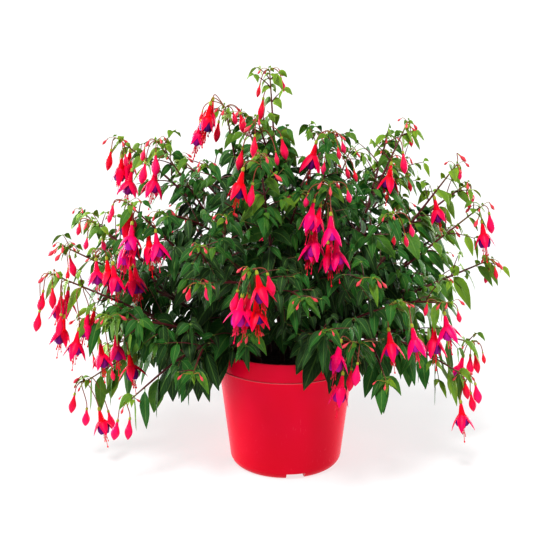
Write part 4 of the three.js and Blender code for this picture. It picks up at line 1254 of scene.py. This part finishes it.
# Stamens and style
STAMENS = 8
STAMEN_LENGTHS = (18, 25)
STAMEN_SPREAD = (1.2, 3.0)
STYLE_LENGTH = 31
STYLE_SPREAD = 0.3
THREAD_START = (6, 0.6)  # down from the mouth and out from the middle
THREAD_BENDS = (0.4, 0.8)
THREAD_BOW = 0.4
THREAD_STEPS = 6  # also of the stalks of the buds at a tip
THREAD_SIDES = 5
# how much of the painted highlight the stamens and style get
THREAD_PAINTED_LIGHT = 0.2
KNOB_PLACES = (-0.6, -0.2, 0.6, 1.4, 1.8)
KNOB_RADII = np.array([0.2, 0.62, 0.8, 0.55, 0.15])
KNOB_SIDES = 6
STAMEN = {"radius": 0.22, "knob": 0.75, "pale": 0.35}
STYLE = {"radius": 0.32, "knob": 1.1, "pale": 0.0}

# Tip buds
TIP_NUBS = 3
TIP_NUB_AHEAD = 2
TIP_NUB_SPREAD = (6, 11)
TIP_NUB_RISE = (-3, 4)
TIP_NUB_SIZES = (0.24, 0.42)
TIP_NUB_LEANS = (0.5, 1.5)
TIP_NUB_SIDES = 8
# the tip buds get a little of the painted highlight
TIP_NUB_LOOK = {"green": BUD_GREEN * 0.6, "pale": 0.9, "bright": 0.2}
TIP_STALK_RADIUS = 0.3
TIP_STALK_OUT = 0.3  # how far out it bends, as a share of the way to its bud
TIP_STALK_LOOK = {"green": 0.7, "tint": 0.5}


def hang_from(start, middle, lean):
    """Where a flower hangs: the direction it points in and the directions square to that."""
    level = spot(middle[0] - start[0], middle[1] - start[1], 0)
    outward = unit(level) if np.linalg.norm(level) > 1 else spot(0, -1, 0)
    down = unit(outward * lean - UP)
    side = np.cross(UP, outward)
    return SimpleNamespace(down=down, side=side, front=np.cross(down, side), outward=outward)


def out_at(hang, angle):
    """The way out from a flower's axis at an angle round it."""
    return hang.side * math.cos(angle) + hang.front * math.sin(angle)


def shift(flower, out, drop, reach):
    """A way down an open flower's axis and out from it."""
    return (flower.down * drop + out * reach) * flower.scale


def place_in(flower, out, drop, reach):
    """A place below an open flower's mouth and out from its axis."""
    return flower.mouth + shift(flower, out, drop, reach)


def find_axil(shoot, stretch, middle):
    """Where the solids' stalk starts, and the place and way in which the real one leaves the shoot."""
    near = (stretch - 1) / shoot.stretches
    far = stretch / shoot.stretches
    begin, end = bezier(shoot.corners, [near, far])
    travel = unit(end - begin)
    over = np.cross(travel, shoot.side)
    radii = blend(shoot.radius, SOLID_TIP_RADIUS, np.array([near, far]))
    low, high = (p - over * (r + CLEAR + STRIP_RADIUS) for p, r in zip((begin, end), radii))
    line = high - low
    share = np.clip((middle + UP * STALK_DROP - low) @ line / (line @ line), 0, 1)
    start = blend(low, high, share)
    if (middle - start) @ over > 0:
        ahead = end + travel * CURL if stretch == shoot.stretches else high
        return ahead, (end, travel)
    return start, place_on(shoot, near + (far - near) * share)


def grow_stalk(red, axil, top, hang, tint):
    """A thin stalk that leaves its axil outwards and bends over to hang."""
    point, travel = axil
    reach = np.linalg.norm(top - point)
    along, out, up = STALK_START
    corners = (
        point,
        point + (travel * along + hang.outward * out + UP * up) * reach,
        top - hang.down * reach * STALK_HANG,
        top,
    )
    shares = np.linspace(0, 1, STALK_STEPS)
    green = blend(*STALK_GREEN, shares)
    red.tube(bezier(corners, shares), STALK_RADIUS, STALK_SIDES, green=green, tint=tint)


def grow_drop(red, top, hang, size, girth, sides, ridges, **values):
    """The body of a bud, down from the end of its stalk."""
    path = top + np.outer(BUD_SHARES, hang.down * BUD_LENGTH * size)
    red.tube(path, BUD_RADII * size * girth, sides, hang.side, ridges, **values)


def grow_bud(red, axil, start, middle, kind, tint):
    size = BUD_SIZES[kind]
    hang = hang_from(start, middle, NUB_LEAN if kind == "nub" else FLOWER_LEAN)
    top = middle - hang.down * BUD_LENGTH * size / 2
    girth = blend(1, blend(*PLUMPNESS, tint), BUD_SHARES)
    # The buds take more of the painted highlight down to their points.
    values = {"green": BUD_GREEN, "pale": BUD_PALENESS[kind], "tint": tint, "bright": BUD_SHARES}
    grow_drop(red, top, hang, size, girth, BUD_SIDES, BUD_RIDGES, **values)
    grow_stalk(red, axil, top, hang, tint)


def wide_curve(flower, out, root):
    """A wide open sepal reaches out from the mouth and then hangs more nearly straight down."""
    knee = SEPAL_LENGTH * WIDE_KNEE
    bend = flower.mouth + out * (WIDE_ROOT + knee * math.sin(WIDE_OPENING))
    bend = bend + flower.down * knee * math.cos(WIDE_OPENING)
    fall = out * math.sin(WIDE_TIP_OPENING) + flower.down * math.cos(WIDE_TIP_OPENING)
    end = bend + fall * knee
    upper, lower = WIDE_BENDS
    bow = out * WIDE_BOW
    return root, blend(root, bend, upper) + bow, blend(bend, end, lower) + bow, end


def hanging_curve(flower, out, root, drop, spread):
    """A half-open flower's sepal hangs close round its petals."""
    end = place_in(flower, out, drop, spread)
    first = root + shift(flower, out, *HANGING_START)
    return root, first, end - shift(flower, out, *HANGING_END), end


def grow_sepal(red, flower, out, corners):
    """A lance-shaped blade along a curve, arched across so that its edges turn inwards."""
    across = np.cross(flower.down, out)
    path = bezier(corners, SEPAL_ROWS)
    travel = units(np.gradient(path, axis=0))
    grid = np.empty((len(SEPAL_ROWS), len(SEPAL_COLUMNS), 3))
    for row, width in enumerate(SEPAL_WIDTHS):
        back = unit(np.cross(across, travel[row]))
        if back @ out < 0:
            back = -back
        half = SEPAL_WIDTH / 2 * width
        for column, t in enumerate(SEPAL_COLUMNS):
            grid[row, column] = path[row] + across * half * t - back * half * SEPAL_CUPPING * t * t
    # The sepals take more of the painted highlight out to their tips.
    red.sheet(grid, SEPAL_THICKNESS, bright=np.sqrt(SEPAL_ROWS)[:, None], tint=flower.tint)


def grow_petal(purple, flower, order, form):
    """One wide petal rolled part of the way round the flower, with one edge under its neighbour."""
    start, length, radius = form
    shares = np.linspace(0, 1, PETAL_ROWS)
    turns = np.linspace(-1, 1, PETAL_COLUMNS)
    grid = np.empty((PETAL_ROWS, PETAL_COLUMNS, 3))
    for row, share in enumerate(shares):
        swell = math.sin(math.pi * blend(*PETAL_SWELL, share))
        for column, turn in enumerate(turns):
            sweep = PETAL_SWEEP * turn * blend(PETAL_ROOT_SWEEP, 1, share)
            out = out_at(flower, order * 2 * math.pi / FLOWER_SIDES + sweep)
            reach = radius * blend(*PETAL_REACH, swell) + PETAL_LAP * turn
            drop = start + length * share * (1 - PETAL_ROUNDING * turn * turn * share)
            grid[row, column] = place_in(flower, out, drop, reach)
    values = {"along": shares[:, None], "across": turns[None, ::-1], "tint": flower.tint}
    purple.sheet(grid[:, ::-1], PETAL_THICKNESS, **values)


def grow_thread(red, flower, angle, drop, spread, form):
    """A stamen with its anther, or the style with its knob."""
    out = out_at(flower, angle)
    top = place_in(flower, out, *THREAD_START)
    end = place_in(flower, out, drop, spread)
    upper, lower = THREAD_BENDS
    corners = (top, blend(top, end, upper) - out * THREAD_BOW, blend(top, end, lower), end)
    path = bezier(corners, np.linspace(0, 1, THREAD_STEPS))
    red.tube(path, form["radius"], THREAD_SIDES, tint=flower.tint, bright=THREAD_PAINTED_LIGHT)
    knob = end + np.outer(KNOB_PLACES, unit(path[-1] - path[-2]))
    red.tube(knob, KNOB_RADII * form["knob"], KNOB_SIDES, tint=flower.tint, pale=form["pale"])


def grow_stamens(red, flower, seed):
    """Eight stamens, and a longer style."""
    for count in range(STAMENS + 1):
        angle = count * 2 * math.pi / STAMENS + chance(seed + count)
        draw = seed + STAMEN_DRAWS + count
        drop = between(draw, STAMEN_LENGTHS)
        spread = between(draw + STAMEN_DRAWS, STAMEN_SPREAD)
        form = STAMEN
        if count == STAMENS:
            drop, spread, form = STYLE_LENGTH, STYLE_SPREAD, STYLE
        grow_thread(red, flower, angle, drop, spread, form)


def grow_bloom(red, purple, axil, start, middle, seed, wide):
    """An open flower: stalk, ovary and tube, four sepals, four rolled petals, stamens and style."""
    flower = hang_from(start, middle, FLOWER_LEAN)
    flower.scale = 1.0 if wide else between(seed, BLOOM_SCALE)
    flower.tint = chance(seed + 3)
    flower.mouth = middle - flower.down * BLOOM_MIDDLE * flower.scale
    path = flower.mouth + np.outer(TUBE_DROPS, flower.down) * flower.scale
    values = {"green": TUBE_GREEN, "tint": flower.tint, "bright": TUBE_PAINTED_LIGHT}
    red.tube(path, TUBE_RADII * flower.scale, TUBE_SIDES, flower.side, **values)
    grow_stalk(red, axil, path[0], flower, flower.tint)
    spread = BELL_RADIUS + SEPAL_LENGTH * between(seed + 1, HANGING_SPREAD)
    drop = BELL_DEPTH + SEPAL_LENGTH * between(seed + 2, HANGING_DROP)
    for order in range(FLOWER_SIDES):
        out = out_at(flower, (order + 0.5) * 2 * math.pi / FLOWER_SIDES)
        root = place_in(flower, out, *SEPAL_START)
        if wide:
            corners = wide_curve(flower, out, root)
        else:
            corners = hanging_curve(flower, out, root, drop, spread)
        grow_sepal(red, flower, out, corners)
        grow_petal(purple, flower, order, WIDE_PETAL if wide else FOLDED_PETAL)
    grow_stamens(red, flower, seed + 5)


def grow_tip_nubs(red, shoot, seed):
    """The small pale buds that crowd a shoot's tip."""
    tip, travel = place_on(shoot, 1.0)
    front = tip + travel * TIP_NUB_AHEAD
    for count in range(TIP_NUBS):
        draw = seed + count * PAIR_DRAWS
        angle = 2 * math.pi * (count + chance(draw)) / TIP_NUBS
        out = spot(math.cos(angle), math.sin(angle), 0) * between(draw + 1, TIP_NUB_SPREAD)
        size = between(draw + 2, TIP_NUB_SIZES)
        top = front + out + UP * between(draw + 3, TIP_NUB_RISE)
        hang = hang_from(tip, top, between(draw + 4, TIP_NUB_LEANS))
        tint = chance(draw + 5)
        grow_drop(red, top, hang, size, 1, TIP_NUB_SIDES, 0, tint=tint, **TIP_NUB_LOOK)
        bend = front + out * TIP_STALK_OUT + UP * TIP_NUB_AHEAD
        corners = (tip, bend, top - hang.down * TIP_NUB_AHEAD, top)
        path = bezier(corners, np.linspace(0, 1, THREAD_STEPS))
        red.tube(path, TIP_STALK_RADIUS, THREAD_SIDES, **TIP_STALK_LOOK)


# The whole plant
TWIN_REACH = ((-9, 9), (3, 9), (-8, 6))
TWIN_SHARE = 0.7  # of the flowers in these sprays have another one close beside them
TWINNED = {
    "crown_left", "far_left", "left_near", "left_inner", "low_left", "front", "front_left", "middle",
    "back_left", "back", "back_right", "back_high",
}
RED_VALUES = ("tint", "bright", "green", "pale")
PURPLE_VALUES = ("along", "across", "tint")
LEAF_VALUES = ("along", "across", "under", "youth", "tint")


def grow_branch(name, plan, count, hung):
    wood = Shape("youth")
    blades = Shape(*LEAF_VALUES)
    share = THINNER_SHARES.get(name, TWIG_SHARE)
    for order, shoot in enumerate(plan):
        rooted = order == 0
        seed = count * BRANCH_DRAWS + order * SHOOT_DRAWS
        filler_seed = seed + FILLER_DRAWS
        grow_shoot(wood, shoot, rooted)
        main = plan_leaves(shoot, rooted, seed, LEAF_GAP, BARE_SHARE, 1.0, TIP_SHRINK)
        low = min(max((LOW_FROM - shoot.corners[3][2]) / LOW_RANGE, 0), 1)
        if (name, order) in RIM_SHOOTS:
            low = 0
        size = blend(*FILLER_SIZES, low)
        shrink = blend(*FILLER_SHRINKS, low)
        filler = plan_leaves(shoot, rooted, filler_seed, FILLER_GAP, FILLER_BARE, size, shrink)
        for leaf in main:
            grow_leaf(blades, leaf)
            grow_twigs(wood, blades, leaf, hung, share)
        for leaf in filler:
            leaf.hang = low
            if all(np.linalg.norm(leaf.root - other.root) > NEAR_MAIN for other in main):
                grow_leaf(blades, leaf, hung)
                grow_twigs(wood, blades, leaf, hung, share)
        grow_tuft(blades, shoot, filler_seed + TUFT_DRAWS)
    wood.piece(f"wood_{name}", BARK, "stem_leaf", f"stem_{name}")
    blades.piece(f"leaves_{name}", LEAF, "stem_leaf", f"stem_{name}")


def grow_spray(name, on, hang, plans, seed):
    branch, order, *given = on
    shoot = plans[branch][order]
    stretch = given[0] if given else shoot.stretches
    red = Shape(*RED_VALUES)
    purple = Shape(*PURPLE_VALUES)
    for count, (kind, *place) in enumerate(hang):
        middle = shoot.corners[3] + spot(*place)
        start, axil = find_axil(shoot, stretch, middle)
        if kind in BUD_SIZES:
            grow_bud(red, axil, start, middle, kind, chance(seed + count))
            continue
        grow_bloom(red, purple, axil, start, middle, seed + count, kind == "show")
        draw = seed + count + TWIN_DRAWS
        if name in TWINNED and chance(draw) < TWIN_SHARE:
            beside = spot(*(between(draw + k, reach) for k, reach in enumerate(TWIN_REACH, 1)))
            grow_bloom(red, purple, axil, start + beside, middle + beside, draw + 4, False)
    grow_tip_nubs(red, shoot, seed + FILLER_DRAWS)
    red.piece(f"blooms_{name}", RED, "flower_red", f"flowers_{name}")
    if purple.count:
        own = [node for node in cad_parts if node.rsplit("_", 1)[0] == f"corolla_{name}"]
        purple.piece(f"petals_{name}", PURPLE, "corolla_purple", *own)


def grow_plant():
    plans = {name: plan_branch(hole, shoots) for name, (hole, shoots) in BRANCHES.items()}
    hung = flower_places(plans)
    for count, (name, plan) in enumerate(plans.items()):
        grow_branch(name, plan, count, hung)
    for count, (name, (on, hang)) in enumerate(SPRAYS.items()):
        grow_spray(name, on, hang, plans, count * SPRAY_DRAWS)
    flowering = {on[:2] for on, _ in SPRAYS.values()}
    buds = Shape(*RED_VALUES)
    for count, (name, plan) in enumerate(plans.items()):
        for order, shoot in enumerate(plan):
            if (name, order) not in flowering:
                grow_tip_nubs(buds, shoot, count * BRANCH_DRAWS + order * SHOOT_DRAWS)
    buds.piece("tip_buds", RED, "flower_red")


# Stage, light and camera. Their places are in metres, but for the camera's.
CAMERA_PLACE = (-10.1, -1136, 500)
CAMERA_PITCH = 14.45  # degrees down
IMAGE_SIZE = 553
FOCAL_PIXELS = 1104
SENSOR_WIDTH = 36
FLOOR_REACH = 100
FLOOR_CORNERS = ((-1, -1), (1, -1), (1, 1), (-1, 1))
FLOOR_COLOUR = (0.3, 0.3, 0.3, 1)
FLOOR_GLOW = 0.62
FLOOR_ROUGHNESS = 0.9
WHITE = (1, 1, 1, 1)
# (name, place, power, angle across in degrees)
SUNS = (
    ("key", (-0.24, -0.66, 1.2), 2.6, 16),
    ("fill", (0.9, -0.9, 0.7), 0.25, 40),
)
# (name, place, power, size)
EDGE_LAMPS = (
    ("left_edge", (-0.9, 0.55, 0.25), 30, 0.85),
    ("right_edge", (0.9, 0.65, 0.25), 14, 0.6),
)
EDGE_AIM = (0, 0, 0.07)
SKY_LIGHT = 0.28  # lights the plant, while the camera sees plain white


def make_stage():
    finish = Finish(bpy.data.materials.new("pale_floor"))
    inputs = {"Base Color": FLOOR_COLOUR, "Roughness": FLOOR_ROUGHNESS}
    inputs.update({"Emission Color": WHITE, "Emission Strength": FLOOR_GLOW})
    skin = finish.node("ShaderNodeBsdfPrincipled", {}, inputs)
    finish.node("ShaderNodeOutputMaterial", {}, {"Surface": skin})
    mesh = bpy.data.meshes.new("floor")
    corners = [(x * FLOOR_REACH, y * FLOOR_REACH, 0) for x, y in FLOOR_CORNERS]
    mesh.from_pydata(corners, [], [(0, 1, 2, 3)])
    mesh.materials.append(finish.owner)
    linked("floor", mesh)


def aim_lamp(name, kind, place, aim, power):
    light = bpy.data.lights.new(name, kind)
    light.energy = power
    lamp = linked(name, light)
    lamp.location = place
    lamp.rotation_euler = (Vector(aim) - Vector(place)).to_track_quat("-Z", "Y").to_euler()
    return lamp


def light_edge(name, place, power, size):
    """A soft lamp behind the plant, which the floor doesn't receive."""
    lamp = aim_lamp(name, "AREA", place, EDGE_AIM, power)
    lamp.data.size = size
    lamp.visible_camera = False
    unlit = bpy.data.collections.new(name + "_unlit")
    unlit.objects.link(bpy.data.objects["floor"])
    unlit.collection_objects[0].light_linking.link_state = "EXCLUDE"
    lamp.light_linking.receiver_collection = unlit


def make_light():
    for name, place, power, angle in SUNS:
        aim_lamp(name, "SUN", place, (0, 0, 0), power).data.angle = math.radians(angle)
    for lamp in EDGE_LAMPS:
        light_edge(*lamp)
    world = bpy.data.worlds.new("studio")
    shade = Finish(world)
    glow = shade.node("ShaderNodeBackground", {}, {"Color": WHITE, "Strength": SKY_LIGHT})
    white = shade.node("ShaderNodeBackground", {}, {"Color": WHITE, "Strength": 1.0})
    seen = shade.node("ShaderNodeLightPath", {}, {}, "Is Camera Ray")
    sky = shade.node("ShaderNodeMixShader", {}, (seen, glow, white))
    shade.node("ShaderNodeOutputWorld", {}, {"Surface": sky})
    bpy.context.scene.world = world
    bpy.context.scene.view_settings.view_transform = "Standard"
    bpy.context.scene.view_settings.look = "Medium High Contrast"


def make_camera():
    data = bpy.data.cameras.new("camera")
    data.sensor_width = SENSOR_WIDTH
    data.lens = FOCAL_PIXELS / IMAGE_SIZE * SENSOR_WIDTH
    camera = linked("camera", data)
    camera.location = Vector(CAMERA_PLACE) * MM
    camera.rotation_euler = (math.radians(90 - CAMERA_PITCH), 0, 0)
    bpy.context.scene.camera = camera


make_camera()
make_stage()
make_light()
make_pot()
make_soil()
grow_plant()
